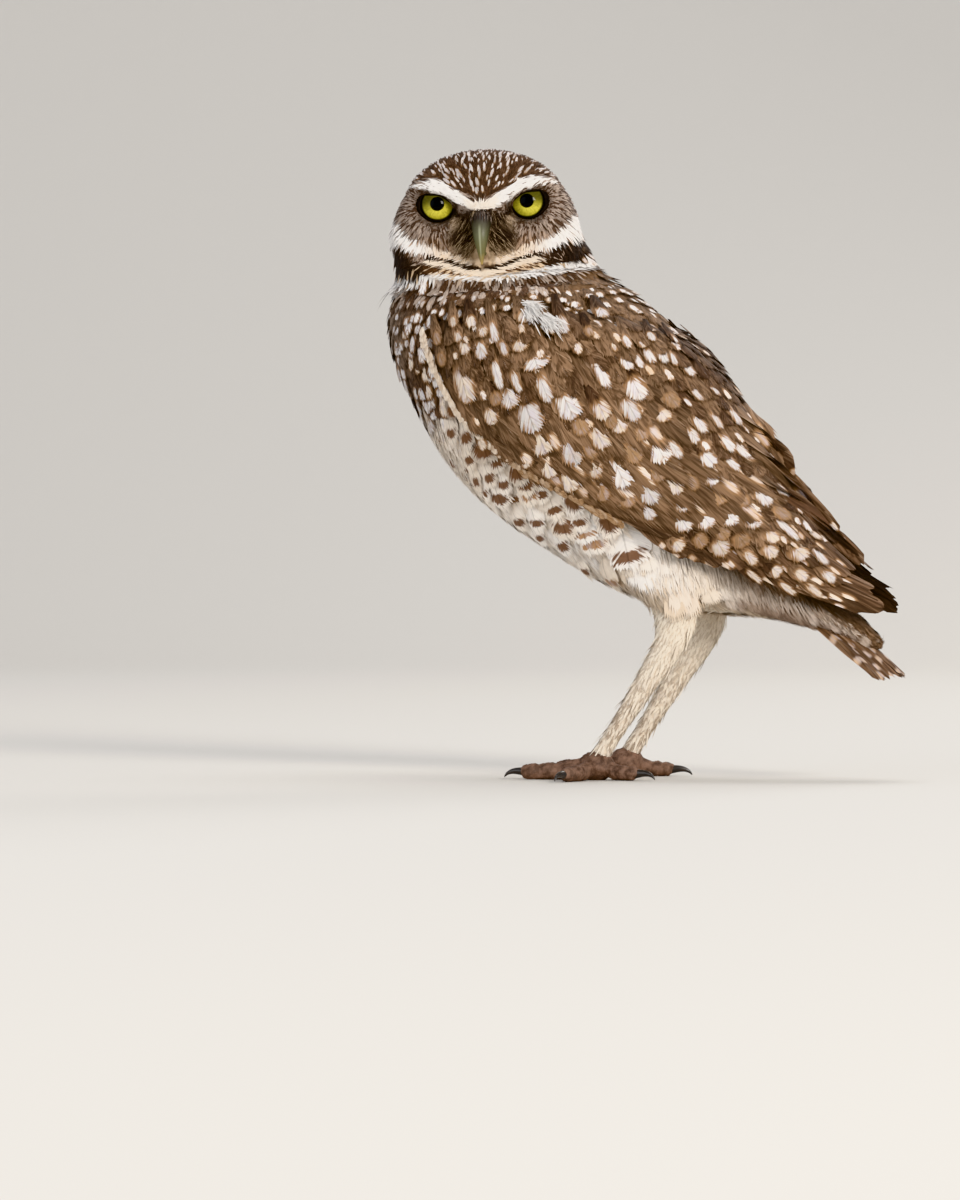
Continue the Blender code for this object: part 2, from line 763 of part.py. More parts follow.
def neck_form(where):
    """A ruff that runs from the trunk's round section into the head's underside."""
    sides = 24
    top = []
    for i in range(sides):
        turn = 2 * math.pi * i / sides
        spot = Vector((31.0 * math.cos(turn - HEAD_TURN), 3.0 + 23.0 * math.sin(turn - HEAD_TURN), 0))
        spot.rotate(Matrix.Rotation(HEAD_TURN, 3, "Z"))
        top.append(Vector((spot.x + HEAD_PLACE.x, spot.y + HEAD_PLACE.y, HEAD_BOTTOM - GAP)))
    rings = []
    steps = 6
    for k in range(steps + 1):
        t = k / steps
        ease = t ** 2.2
        trunk_ring = body_ring(TRUNK, NECK_END - 1.1 * t, 0.0, sides)
        rings.append([a.lerp(b, ease) for a, b in zip(trunk_ring, top)])
    return loft("neck", rings, where)


def trunk(parts, tools):
    """Neck, torso and the root of the tail: one form parted by thin cuts."""
    feathers = finish("body_feathers", FEATHERS, 0.85)
    node(neck_form(tools), "neck", feathers, parts)

    shift = GAP / 15.0  # sections are about 15 mm apart
    torso = body("torso", TRUNK, NECK_END + shift, TAIL_START, 0.5, 24, 0.0, tools)
    node(torso, "torso", feathers, parts)

    root = body("tail", TRUNK, TAIL_START + 2 * shift, 15.0, 0.5, 24, 0.0, tools)
    combine(root, [tail_sheet(tools)], "UNION")
    centre, up, deep, wide = section(TRUNK, TAIL_START)
    rearward = Vector((up.z, 0, -up.x))
    front = slab("front", centre - rearward * (20 - GAP), rearward, 40, 60, tools)
    combine(root, [front], "DIFFERENCE")
    node(keep_largest(root), "tail", finish("tail_feathers", (0.36, 0.24, 0.16), 0.8), parts)


def thigh_path(side):
    hip = side * (LEG_SPREAD - 3)
    foot = side * LEG_SPREAD
    end = ANKLE[1] + 3
    return [(26, hip, 92), (28, hip, 82), (30, hip, 72), (31, foot, 64.5), (31, foot, 58), (31, foot, end)]


THIGH_RADII = [(9, 16), (12.5, 24), (13, 26), (10, 16.5), (6.8, 10), (5.2, 7.6)]  # across, fore and aft


def leg(side, parts, tools):
    """Feathered thigh, shank and foot with its claws."""
    tag = "left" if side == LEFT else "right"
    y = side * LEG_SPREAD
    thigh = tube("thigh", thigh_path(side), THIGH_RADII, 16, tools)
    room = body("trunk_room", TRUNK, -0.5, 14.0, 0.5, 24, GAP, tools)
    wings = body("wing_room", CLOAK, 0.2, 12.6, 0.8, 20, wing_room_depth, tools)
    combine(wings, [prism("limit", THIGH_LIMIT, -60, 60, tools)], "INTERSECT")
    combine(thigh, [wings], "DIFFERENCE")
    combine(thigh, [room], "DIFFERENCE")
    node(keep_largest(thigh), f"thigh_{tag}", finish(f"thigh_{tag}", PALE, 0.9), parts)

    top = Vector((ANKLE[0], y, ANKLE[1] + 3 - GAP))
    down = Vector((FOOT[0], y, FOOT[1]))
    path = [top, top - Vector((0, 0, 2.5)), Vector((ANKLE[0] - 2.5, y, ANKLE[1] - 4.5))]
    path += [path[2].lerp(down, t) for t in (0.2, 0.5, 0.8, 0.93)]
    radii = [(5.1, 7.5), (4.9, 7.0), (4.3, 6.0), (3.8, 4.8), (3.4, 3.9), (3.5, 3.7), (3.9, 4.1)]
    shank = tube("shank", path, radii, 12, tools)
    node(shank, f"shank_{tag}", finish(f"shank_{tag}", PALE, 0.9), parts)
    foot(side, tag, path[-1], parts, tools)


# Toes: name, direction from straight ahead towards the outer side, length, radius
TOES = [
    ("inner", -28, 17.0, 2.9),
    ("middle", 6, 21.0, 3.0),
    ("outer", 78, 18.0, 2.8),
    ("hind", 168, 12.0, 2.7),
]
CLAW_LENGTH = 8.6
CLAW_FALL = 1.7  # from the toe's end to the claw's point


def foot(side, tag, heel, parts, tools):
    """Four toes lying on the floor, fused at the pad, each with its own claw."""
    y = side * LEG_SPREAD
    pad = ball(f"foot_{tag}", (FOOT[0] - 1.0, y, 4.6), (6.2, 5.4, 4.9), tools, 14, 8)
    toes = []
    claws = []
    dark = finish(f"claws_{tag}", (0.05, 0.045, 0.04), 0.3)
    for name, turn, length, thick in TOES:
        angle = math.pi - side * math.radians(turn)
        ahead = Vector((math.cos(angle), math.sin(angle), 0))
        across = Vector((-ahead.y, ahead.x, 0))
        start = Vector((FOOT[0] - 1.0, y, 0))
        profile = [(0.0, 1.5, 1.05), (0.2, 1.4, 1.0), (0.38, 1.0, 1.0), (0.5, 0.9, 0.88)]
        profile += [(0.66, 0.9, 1.0), (0.8, 0.88, 0.86), (0.92, 0.86, 0.96), (1.0, 0.86, 0.6)]
        path = [start + ahead * (length * t + 3.0) + Vector((0, 0, thick * z)) for t, z, _ in profile]
        radii = [(thick * w, thick * w) for _, _, w in profile]
        toes.append(tube("toe", path, radii, 8, tools, across))
        tip = path[-1] + ahead * GAP
        hook = [tip]
        sizes = [(1.35, 1.6)]
        for k in range(1, 6):
            t = k / 5
            run = CLAW_LENGTH * math.sin(math.radians(72 * t))
            rise = 0.5 * math.sin(math.pi * t) - CLAW_FALL * t ** 3
            hook.append(tip + ahead * run + Vector((0, 0, rise)))
            sizes.append((1.2 * (1 - t) ** 0.8 + 0.15, 1.4 * (1 - t) ** 0.8 + 0.15))
        hook.insert(1, tip + ahead * 0.7)
        sizes.insert(1, (1.3, 1.55))
        claw = tube("claw", hook, sizes, 8, tools, across)
        claws.append((claw, f"claw_{tag}_{name}"))
    sole = Vector((FOOT[0] - 2, y, 3.5))
    down = (Vector((FOOT[0], y, FOOT[1])) - heel).normalized()
    stub = tube("stub", [heel - down * 2, heel, sole], [(3.9, 4.1), (4.0, 4.2), (4.4, 4.6)], 12, tools)
    combine(pad, toes + [stub], "UNION")
    floor = slab("floor", (0, 0, -10), (0, 0, 1), 20, 300, tools)
    shank_room = slab("shank_room", heel - down * (10 - GAP), down, 20, 30, tools)
    combine(pad, [floor, shank_room], "DIFFERENCE")
    node(keep_largest(pad), f"foot_{tag}", finish(f"foot_{tag}", (0.40, 0.26, 0.18), 0.7), parts)
    for claw, name in claws:
        node(claw, name, dark, parts)


def centre_on_floor(parts):
    """Puts the origin at the bottom centre of the whole owl's box."""
    corners = [v.co for made in parts.objects for v in made.data.vertices]
    shift = Vector((
        (min(c.x for c in corners) + max(c.x for c in corners)) / 2,
        (min(c.y for c in corners) + max(c.y for c in corners)) / 2,
        0,
    ))
    for made in parts.objects:
        made.data.transform(Matrix.Translation(-shift))


def main():
    clear_scene()
    parts = bpy.data.collections.new("burrowing_owl")
    tools = bpy.data.collections.new("cutters")
    bpy.context.scene.collection.children.link(parts)
    bpy.context.scene.collection.children.link(tools)
    head(parts, tools)
    trunk(parts, tools)
    for side in (LEFT, RIGHT):
        made = wing(side, parts, tools)
        tag = "wing_left" if side == LEFT else "wing_right"
        node(made, tag, finish(tag, (0.33, 0.22, 0.14), 0.85), parts)
        leg(side, parts, tools)
    centre_on_floor(parts)


main()
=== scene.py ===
import math

import bpy
import numpy as np
from mathutils import Matrix, Vector
from mathutils.bvhtree import BVHTree


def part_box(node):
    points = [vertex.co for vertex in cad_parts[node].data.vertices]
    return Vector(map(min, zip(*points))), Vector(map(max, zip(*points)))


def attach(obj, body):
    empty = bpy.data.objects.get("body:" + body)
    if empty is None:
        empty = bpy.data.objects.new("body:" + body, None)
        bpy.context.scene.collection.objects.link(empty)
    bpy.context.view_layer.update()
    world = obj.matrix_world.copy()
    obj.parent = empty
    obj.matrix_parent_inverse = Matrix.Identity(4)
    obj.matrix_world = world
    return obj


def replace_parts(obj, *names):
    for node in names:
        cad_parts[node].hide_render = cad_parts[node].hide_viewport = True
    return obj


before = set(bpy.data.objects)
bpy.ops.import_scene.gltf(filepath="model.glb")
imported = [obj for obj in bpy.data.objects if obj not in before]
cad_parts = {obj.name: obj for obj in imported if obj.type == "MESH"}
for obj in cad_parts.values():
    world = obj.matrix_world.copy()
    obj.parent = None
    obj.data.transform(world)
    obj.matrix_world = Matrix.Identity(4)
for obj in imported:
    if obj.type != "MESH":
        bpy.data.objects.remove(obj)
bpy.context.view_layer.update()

# Burrowing owl, life size. Numbers are millimetres in the owl's own plan, breast to -X and
# left side to -Y, until a mesh is made; newMesh puts them in the frame, in metres.
mm = 0.001
leftSide, rightSide = -1, 1


def unit(v):
    return v / np.maximum(np.linalg.norm(v, axis=-1, keepdims=True), 1e-9)


def dot(a, b):
    return (a * b).sum(-1, keepdims=True)


def ease(low, high, x):
    t = np.clip((x - low) / (high - low), 0, 1)
    return t * t * (3 - 2 * t)


def smoothRead(values, place):
    # a smooth curve through rows of values, straight on past both ends
    values = np.asarray(values, float)
    place = np.asarray(place, float)
    top = len(values) - 1
    i = np.clip(place.astype(int), 0, top - 1)
    t = (place - i)[..., None]
    before, a = values[np.maximum(i - 1, 0)], values[i]
    b, after = values[i + 1], values[np.minimum(i + 2, top)]
    bend = 2 * before - 5 * a + 4 * b - after
    twist = 3 * (a - b) + after - before
    inside = a + 0.5 * t * (b - before + t * (bend + t * twist))
    low = values[0] + (values[1] - values[0]) * place[..., None]
    high = values[-1] + (values[-1] - values[-2]) * (place[..., None] - top)
    return np.where(place[..., None] < 0, low, np.where(place[..., None] > top, high, inside))


# body sections from neck to undertail: belly x, z, back x, z, half width
trunkForm = np.array([
    (-72, 170, 0, 178, 27.0), (-75, 158, 8, 166, 31.0), (-74, 144, 20, 157, 34.0), (-68, 128, 31, 146, 35.5),
    (-59, 112, 41, 133, 35.5), (-48, 98, 50, 119, 34.5), (-35, 87, 58, 106, 32.0), (-20, 77, 65, 95, 29.0),
    (-3, 67, 70, 85, 25.5), (15, 59, 73, 78, 22.0), (36, 55, 75, 72, 17.5), (55, 54, 78, 67, 14.0),
    (70, 50.5, 83, 62.5, 13.0), (80, 48, 90, 57, 11.0), (87, 46, 95, 52, 7.5), (91, 44.5, 97, 48, 3.0)])
cloakForm = np.vstack([trunkForm[:8], [
    (3, 68, 71, 87, 26.5), (27, 62, 77, 80, 23.0), (51, 58, 84, 74, 18.5),
    (73, 53, 91, 69, 14.0), (92, 48, 99, 64, 10.5), (106, 44, 107, 59, 7.5)]])
wingOutline = np.array([
    (-54, 151), (-50, 141), (-44, 129), (-36, 118), (-25, 109), (-12, 101), (3, 93), (18, 85), (34, 77),
    (52, 71), (68, 66), (80, 62.5), (88, 63), (91, 68), (86, 86), (60, 125), (36, 149), (18, 156),
    (-4, 159.5), (-28, 159), (-46, 156)], float)


def bodySection(form, place):
    row = smoothRead(form, place)
    belly = np.stack([row[..., 0], 0 * row[..., 0], row[..., 1]], -1)
    back = np.stack([row[..., 2], 0 * row[..., 0], row[..., 3]], -1)
    across = back - belly
    return (belly + back) / 2, unit(across), np.linalg.norm(across, axis=-1) / 2, row[..., 4]


def rearward(up):
    return np.stack([up[..., 2], 0 * up[..., 0], -up[..., 0]], -1)


def bodyPlace(form, points):
    # how far along the body each point lies, counted in sections
    spots = points * (1, 0, 1)
    low = np.full(len(points), -1.5)
    high = np.full(len(points), len(form) + 1.0)
    for _ in range(24):
        middle = (low + high) / 2
        centre, up, _, _ = bodySection(form, middle)
        ahead = dot(spots - centre, rearward(up))[:, 0] > 0
        low, high = np.where(ahead, middle, low), np.where(ahead, high, middle)
    return (low + high) / 2


def onBody(form, place, angle, grow):
    # point of a body form; angle 0 is the back and pi the belly
    centre, up, deep, wide = bodySection(form, place)
    sideways = np.stack([0 * angle, (wide + grow) * np.sin(angle), 0 * angle], -1)
    return centre + up * ((deep + grow) * np.cos(angle))[..., None] + sideways


def wingDepth(place):
    return 0.9 + 2.3 * ease(0.7, 3.0, place)


def onWing(x, z, lift, side):
    # point of the folded wing seen at (x, z) from the side, wrapped on over the back
    spots = np.stack([x, 0 * x, z], -1)
    place = bodyPlace(cloakForm, spots)
    centre, up, deep, wide = bodySection(cloakForm, place)
    grow = wingDepth(place)
    share = dot(spots - centre, up)[:, 0] / (deep + grow)
    bend = np.minimum(1.54, np.arcsin(np.clip(share, -0.97, 0.8)) + np.maximum(0, share - 0.8) * 3.0)
    grow = grow + lift
    outward = np.stack([0 * bend, side * (wide + grow) * np.cos(bend), 0 * bend], -1)
    return centre + up * ((deep + grow) * np.sin(bend))[:, None] + outward


# head, in its own frame: face to -Y, x to the picture's right
head = dict(place=(-39.5, -1.5, 181.9), turn=14.0, lean=-2.0, wide=32.0, up=28.0, down=46.0, front=19.5,
            back=27.0, flatness=2.6, cut=163.2)
headMatrix = (Matrix.Translation(head["place"]) @ Matrix.Rotation(math.radians(head["turn"]), 4, "Z")
              @ Matrix.Rotation(math.radians(head["lean"]), 4, "Y"))
headSpin = np.array(headMatrix.to_3x3())
headAt = np.array(head["place"])
eyeSpot = np.array((15.4, -10.0, 10.2))
billBase = np.array((0.0, -21.0, 4.0))
browLine = np.array([(2, 9.2), (11.7, 13.1), (19, 16.5), (25.5, 18.2)])
chinLine = np.array([(0, -13.8), (14, -12), (26, -6)])


def toHead(points):
    return (points - headAt) @ headSpin


def fromHead(points):
    return np.asarray(points) @ headSpin.T + headAt


def bump(distance, size):
    return np.exp(-((distance / size) ** 2))


def lineGap(x, z, line):
    # distance of face points from a broken line, and how far along it they are, 0 to 1
    spot = np.stack([x, z], -1)
    best, along = np.full(x.shape, 1e9), np.zeros(x.shape)
    for k, (start, end) in enumerate(zip(line[:-1], line[1:])):
        run = end - start
        share = np.clip(((spot - start) * run).sum(-1) / (run * run).sum(), 0, 1)
        gap = np.linalg.norm(spot - start - run * share[..., None], axis=-1)
        along = np.where(gap < best, (k + share) / (len(line) - 1), along)
        best = np.minimum(best, gap)
    return best, along


def faceRelief(x, z):
    x = abs(x)
    relief = 3.2 * bump(lineGap(x, z, browLine)[0], 3.5)
    relief -= 1.4 * bump(np.hypot(x - eyeSpot[0], z - eyeSpot[2] + 2), 8.0)
    relief += 1.5 * bump(x, 4.0) * bump(z - 9, 7.0)
    relief += 4.0 * bump(x, 9.5) * bump(z + 4.0, 8.0)
    relief += 1.4 * bump(np.hypot(x - 11.5, z - 5.0) - 20.5, 3.0)
    return relief + 1.6 * bump(lineGap(x, z, chinLine)[0], 3.0)


def facePoint(x, z):
    flat = np.minimum(1.0, np.hypot(x / head["wide"], z / np.where(z > 0, head["up"], head["down"])))
    front = head["front"] * (1 - flat ** head["flatness"]) ** (1 / head["flatness"])
    near = np.minimum(1.0, front / (0.45 * head["front"]))
    return np.stack([x, -front - faceRelief(x, z) * near, z], -1)


def headPoint(polar, around):
    flat = np.sin(polar)
    x = head["wide"] * flat * np.cos(around)
    high = flat * np.sin(around)
    z = high * np.where(high > 0, head["up"], head["down"])
    back = np.stack([x, -head["back"] * np.cos(polar), z], -1)
    return np.where((polar > math.pi / 2)[..., None], back, facePoint(x, z))


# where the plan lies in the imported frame, from the left eye's box
eyeBox = [np.array(corner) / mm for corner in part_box("eye_left")]
rowShift = (eyeBox[0] + eyeBox[1]) / 2 - fromHead(eyeSpot)
rowShift[2] = 0.0


def toFrame(points):
    return (np.asarray(points, float) + rowShift) * mm


# shader helper: sockets that can be added, multiplied and mixed like numbers
class Socket:
    def __init__(self, web, out):
        self.web, self.out = web, out

    def math(self, operation, *others):
        return self.web.node("ShaderNodeMath", {"operation": operation}, [self, *others])

    def __add__(self, other):
        return self.math("ADD", other)

    def __sub__(self, other):
        return self.math("SUBTRACT", other)

    def __rsub__(self, other):
        return self.web.node("ShaderNodeMath", {"operation": "SUBTRACT"}, [other, self])

    def __mul__(self, other):
        return self.math("MULTIPLY", other)

    def __truediv__(self, other):
        return self.math("DIVIDE", other)

    __radd__ = __add__
    __rmul__ = __mul__


class Web:
    # a material's nodes
    def __init__(self, name):
        self.material = bpy.data.materials.new(name)
        self.material.use_nodes = True
        self.tree = self.material.node_tree
        self.shader = self.tree.nodes["Principled BSDF"]

    def node(self, kind, settings=None, inputs=(), out=0):
        made = self.tree.nodes.new(kind)
        for key, value in (settings or {}).items():
            if key == "stops":
                ramp = made.color_ramp
                for k, (place, color) in enumerate(value):
                    stop = ramp.elements[k] if k < 2 else ramp.elements.new(place)
                    stop.position, stop.color = place, (*color, 1.0)
            else:
                setattr(made, key, value)
        pairs = inputs.items() if isinstance(inputs, dict) else enumerate(inputs)
        for key, value in pairs:
            self.feed(made.inputs[key], value)
        return Socket(self, made.outputs[out])

    def feed(self, entry, value):
        if isinstance(value, Socket):
            self.tree.links.new(value.out, entry)
        elif isinstance(value, tuple) and len(value) == 3 and entry.type == "RGBA":
            entry.default_value = (*value, 1.0)
        else:
            entry.default_value = value

    def attribute(self, name, out="Vector"):
        return self.node("ShaderNodeAttribute", {"attribute_name": name}, out=out)

    def parts(self, vector):
        made = self.tree.nodes.new("ShaderNodeSeparateXYZ")
        self.tree.links.new(vector.out, made.inputs[0])
        return [Socket(self, made.outputs[k]) for k in range(3)]

    def scaled(self, vector, size):
        return self.node("ShaderNodeVectorMath", {"operation": "SCALE"}, {0: vector, "Scale": size})

    def vector(self, x, y, z):
        return self.node("ShaderNodeCombineXYZ", inputs=[x, y, z])

    def step(self, low, high, value):
        return self.node("ShaderNodeMapRange", {"interpolation_type": "SMOOTHSTEP"},
                         {"Value": value, "From Min": low, "From Max": high})

    def noise(self, place, scale, detail=2.0, rough=0.5):
        return self.node("ShaderNodeTexNoise", {}, {"Vector": place, "Scale": scale, "Detail": detail,
                                                    "Roughness": rough})

    def mix(self, share, a, b, blend="MIX"):
        return self.node("ShaderNodeMix", {"data_type": "RGBA", "blend_type": blend}, {0: share, 6: a, 7: b},
                         out=2)

    def place(self):
        return self.node("ShaderNodeTexCoord", out="Object")

    def finish(self, **values):
        for key, value in values.items():
            self.feed(self.shader.inputs[key.replace("_", " ")], value)
        return self.material


def srgb(r, g, b):
    # linear colour from 0 to 255 values as seen on a screen
    return tuple(((c / 255 + 0.055) / 1.055) ** 2.4 if c > 10 else c / 3294 for c in (r, g, b))


def tint(*color):
    return np.array(srgb(*color))


# one plumage finish: each feather brings its colours, spots and bars as attributes
plumageLook = dict(fringe=srgb(172, 132, 94), barbs=30.0, slant=24.0, barbTone=0.42, rough=0.8, sheen=0.1,
                   rootShade=0.4, bump=0.35, streak=srgb(176, 150, 124), edge=srgb(168, 140, 116),
                   dark=srgb(58, 42, 32), shadeLilac=srgb(188, 180, 188))


def plumageFinish():
    web = Web("plumage")
    u, v, _ = web.parts(web.node("ShaderNodeUVMap", {"uv_map": "vane"}))
    aside = (u - 0.5).math("ABSOLUTE")
    seed = web.attribute("ground", "Alpha")
    alongBarbs = web.vector(v * plumageLook["barbs"] - aside * plumageLook["slant"], u * 1.5, seed * 91)
    barbs = web.noise(alongBarbs, 1.0, 3.0, 0.6)
    blotch = web.noise(web.vector(u * 4.5 + seed * 50, v * 3.2 - aside * 2, seed * 17), 1.6, 3.0)

    def spot(name):
        cu, cv, wide = web.parts(web.attribute(name))
        tall = web.attribute(name, "Alpha")
        across, along = (u - cu) / wide, (v - cv) / tall
        square = (across.math("POWER", 4.0) + along.math("POWER", 4.0)).math("POWER", 0.25)
        oval = (across * across + along * along).math("SQRT")
        return square * 0.7 + oval * 0.3 + (barbs - 0.5) * 1.1 + (blotch - 0.5) * 0.8

    def inside(far, low, high):
        return 1 - web.step(low, high, far)

    fine = web.noise(web.scaled(alongBarbs, 0.75), 1.0, 2.0, 0.6)
    near = spot("spotA").math("MINIMUM", spot("spotB"))
    count, duty, offset = web.parts(web.attribute("bars"))
    strength = web.attribute("bars", "Alpha")
    wave = ((v * count + offset + (barbs - 0.5) * 0.2 - aside * 0.25) * (2 * math.pi)).math("SINE")
    bars = web.step(duty - 0.25, duty + 0.25, wave) * strength
    ground = web.attribute("ground", "Color")
    calm = 1 - web.step(0.12, 0.5, web.node("ShaderNodeSeparateColor", {}, [ground], out=1)) * 0.85
    dark = web.mix(1.0, ground, plumageLook["dark"], "MULTIPLY")
    color = web.mix(web.step(0.42, 0.6, blotch) * calm * 0.55, ground, dark)
    streaky = web.step(0.5, 0.74, barbs)
    streaky = streaky * web.step(0.3, 0.7, web.noise(web.vector(u * 2, v * 3, seed * 33), 1.0))
    color = web.mix(streaky * calm * 0.42, color, plumageLook["streak"])
    color = web.mix(inside(near, 0.95, 1.6) * calm * 0.55, color, plumageLook["fringe"])
    mark = web.attribute("mark", "Color")
    shown = web.step(0.06, 0.3, web.node("ShaderNodeSeparateColor", {}, [mark], out=1))
    barbed = web.mix(web.step(0.46, 0.66, fine) * shown * 0.62, mark, plumageLook["edge"])
    # painted shade: lilac-grey blotches over the pale marks, standing in for their shaded parts
    barbed = web.mix(web.step(0.4, 0.65, blotch) * shown * 0.6, barbed, plumageLook["shadeLilac"])
    ragged = near + (fine - 0.5) * 1.6
    color = web.mix(inside(ragged, 0.7, 1.1).math("MAXIMUM", bars) * 0.96, color, barbed)
    edge = web.attribute("mark", "Alpha")
    color = web.mix(web.step(0.36, 0.5, aside + (barbs - 0.5) * 0.16) * edge, color, plumageLook["edge"])
    shaft = inside(aside, 0.012, 0.03)
    color = web.mix(shaft * 0.3, color, plumageLook["dark"])
    tone = (barbs - 0.5) * (calm * 0.5 + 0.5) * plumageLook["barbTone"] * 2 + 1.0
    deep = 1 - (1 - web.step(0.0, 0.55, v)) * plumageLook["rootShade"] * (calm * 0.7 + 0.3)
    shade = tone * deep
    color = web.mix(1.0, color, web.node("ShaderNodeCombineColor", {}, [shade, shade, shade]), "MULTIPLY")
    height = barbs * 0.5 + shaft * 0.6
    bumped = web.node("ShaderNodeBump", {},
                      {"Strength": plumageLook["bump"], "Distance": 0.0003, "Height": height})
    return web.finish(Base_Color=color, Roughness=plumageLook["rough"], Sheen_Weight=plumageLook["sheen"],
                      Sheen_Roughness=0.5, Specular_IOR_Level=0.15, Normal=bumped)


def skinFinish():
    # the skin carries the coat's own colours, as down between the feathers
    web = Web("down")
    fuzz = web.noise(web.place(), 900.0, 3.0)
    tone = fuzz * 0.6 + 0.6
    tones = web.node("ShaderNodeCombineColor", {}, [tone, tone, tone])
    color = web.mix(1.0, web.attribute("ground", "Color"), tones, "MULTIPLY")
    bumped = web.node("ShaderNodeBump", {}, {"Strength": 0.5, "Distance": 0.0004, "Height": fuzz})
    return web.finish(Base_Color=color, Roughness=0.9, Specular_IOR_Level=0.1, Normal=bumped)


def planPoints(mesh):
    return vertexRows(mesh, "co") / mm - rowShift


def vertexRows(mesh, key):
    rows = np.empty(len(mesh.vertices) * 3)
    mesh.vertices.foreach_get(key, rows)
    return rows.reshape(-1, 3)


def movePoints(mesh, points):
    mesh.vertices.foreach_set("co", toFrame(points).astype(np.float32).ravel())


def smoothFaces(mesh):
    mesh.polygons.foreach_set("use_smooth", np.ones(len(mesh.polygons), bool))


def cornerMap(mesh, name, values):
    # a UV map from one value at each vertex
    corners = np.empty(len(mesh.loops), np.int32)
    mesh.loops.foreach_get("vertex_index", corners)
    mesh.uv_layers.new(name=name).uv.foreach_set("vector", values[corners].astype(np.float32).ravel())


def pointColors(mesh, name, values):
    layer = mesh.color_attributes.new(name, "FLOAT_COLOR", "POINT")
    layer.data.foreach_set("color", values.astype(np.float32).ravel())


def asPiece(made):
    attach(made, "root")
    return made


def newMesh(name, points, faces, material, slot):
    # an object from plan points and rows of triangles or quads, a piece if it has a slot
    mesh = bpy.data.meshes.new(name)
    faces = np.asarray(faces, np.int32)
    mesh.vertices.add(len(points))
    movePoints(mesh, points)
    mesh.loops.add(faces.size)
    mesh.loops.foreach_set("vertex_index", faces.ravel())
    mesh.polygons.add(len(faces))
    mesh.polygons.foreach_set("loop_start", np.arange(0, faces.size, faces.shape[1], dtype=np.int32))
    mesh.update(calc_edges=True)
    smoothFaces(mesh)
    made = bpy.data.objects.new(name, mesh)
    bpy.context.scene.collection.objects.link(made)
    if material:
        mesh.materials.append(material)
    return asPiece(made) if slot else made


def only(made):
    bpy.ops.object.select_all(action="DESELECT")
    made.select_set(True)
    bpy.context.view_layer.objects.active = made
    return made


def applied(made, kind, **settings):
    only(made)
    step = made.modifiers.new(kind.lower(), kind)
    for key, value in settings.items():
        setattr(step, key, value)
    bpy.ops.object.modifier_apply(modifier=step.name)


def facesOut(made, capped=False):
    # turns a closed shape's faces outwards, once its open ends are filled
    only(made)
    bpy.ops.object.mode_set(mode="EDIT")
    bpy.ops.mesh.select_all(action="SELECT")
    if capped:
        bpy.ops.mesh.fill_holes(sides=0)
    bpy.ops.mesh.normals_make_consistent(inside=False)
    bpy.ops.object.mode_set(mode="OBJECT")
    return made


def joined(pieces):
    bpy.ops.object.select_all(action="DESELECT")
    for piece in pieces:
        piece.select_set(True)
    bpy.context.view_layer.objects.active = pieces[0]
    bpy.ops.object.join()
    return only(bpy.context.view_layer.objects.active)


def gridFaces(rows, columns, closed=True):
    # quads of a sheet of rows by columns; closed joins its last column to its first
    i, j = np.meshgrid(np.arange(rows - 1), np.arange(columns if closed else columns - 1), indexing="ij")
    here, beside = i * columns + j, i * columns + (j + 1) % columns
    return np.stack([here, beside, beside + columns, here + columns], -1).reshape(-1, 4)


def closedForm(name, rings, material=None, slot=None):
    # a tube over rings of points with both ends filled
    rings = np.asarray(rings)
    made = newMesh(name, rings.reshape(-1, 3), gridFaces(*rings.shape[:2]), material, slot)
    return facesOut(made, capped=True)


def tubeRings(path, radii, sides, across, finer=1):
    # rings of a tube, whose first radius lies along across; finer adds rings between the path's points
    place = np.linspace(0, len(path) - 1, (len(path) - 1) * finer + 1)
    path, radii = smoothRead(path, place), np.maximum(smoothRead(radii, place), 0.05)
    ahead = unit(np.gradient(path, axis=0))
    across = np.asarray(across, float)
    wide = unit(across - ahead * (ahead @ across)[:, None])
    tall = np.cross(ahead, wide)
    turn = 2 * math.pi * (np.arange(sides) + 0.5) / sides
    return (path[:, None] + wide[:, None] * (radii[:, 0, None] * np.cos(turn))[..., None]
            + tall[:, None] * (radii[:, 1, None] * np.sin(turn))[..., None])


# the olive is both the iris's darker rays and the painted shade over the iris's top
eyeLook = dict(radius=6.6, bulge=0.35, opening=5.6, lower=0.86, iris=5.25, pupil=2.4, pupilAt=(-0.4, 0.55),
               mapSize=20.0, yellow=srgb(206, 196, 84), oliveRaysAndShade=srgb(50, 47, 22), rim=srgb(12, 10, 8))


# the one skin under the coat
skinLook = dict(voxel=1.05, smoothing=5, underBody=2.4, underWing=2.6, underThigh=2.2, underShank=0.7,
                underHead=1.1, socket=5.0)
legForm = dict(spread=17.0, ankle=(31.5, 49.0), foot=(5.0, 7.5))


def insideOutline(x, z, outline):
    # true where points lie inside a closed outline
    inside = np.zeros(x.shape, bool)
    for (ax, az), (bx, bz) in zip(outline, np.roll(outline, -1, axis=0)):
        crosses = ((az > z) != (bz > z)) & (x < (bx - ax) * (z - az) / (bz - az + 1e-12) + ax)
        inside ^= crosses
    return inside


def outlineGap(x, z, outline):
    return lineGap(x, z, np.vstack([outline, outline[:1]]))[0]


def depthInside(x, z, outline):
    # how far points lie inside a closed outline, negative outside it
    gap = outlineGap(x, z, outline)
    return np.where(insideOutline(x, z, outline), gap, -gap)


def padDepth(points):
    # 0 off the folded wings' pads, 1 where they have their full depth
    return ease(0, 6, depthInside(points[:, 0], points[:, 2], wingOutline))


def underWing(points):
    # where the folded wings and the back's feathers lie over the skin
    return depthInside(points[:, 0], points[:, 2], wingOutline) > 0.8


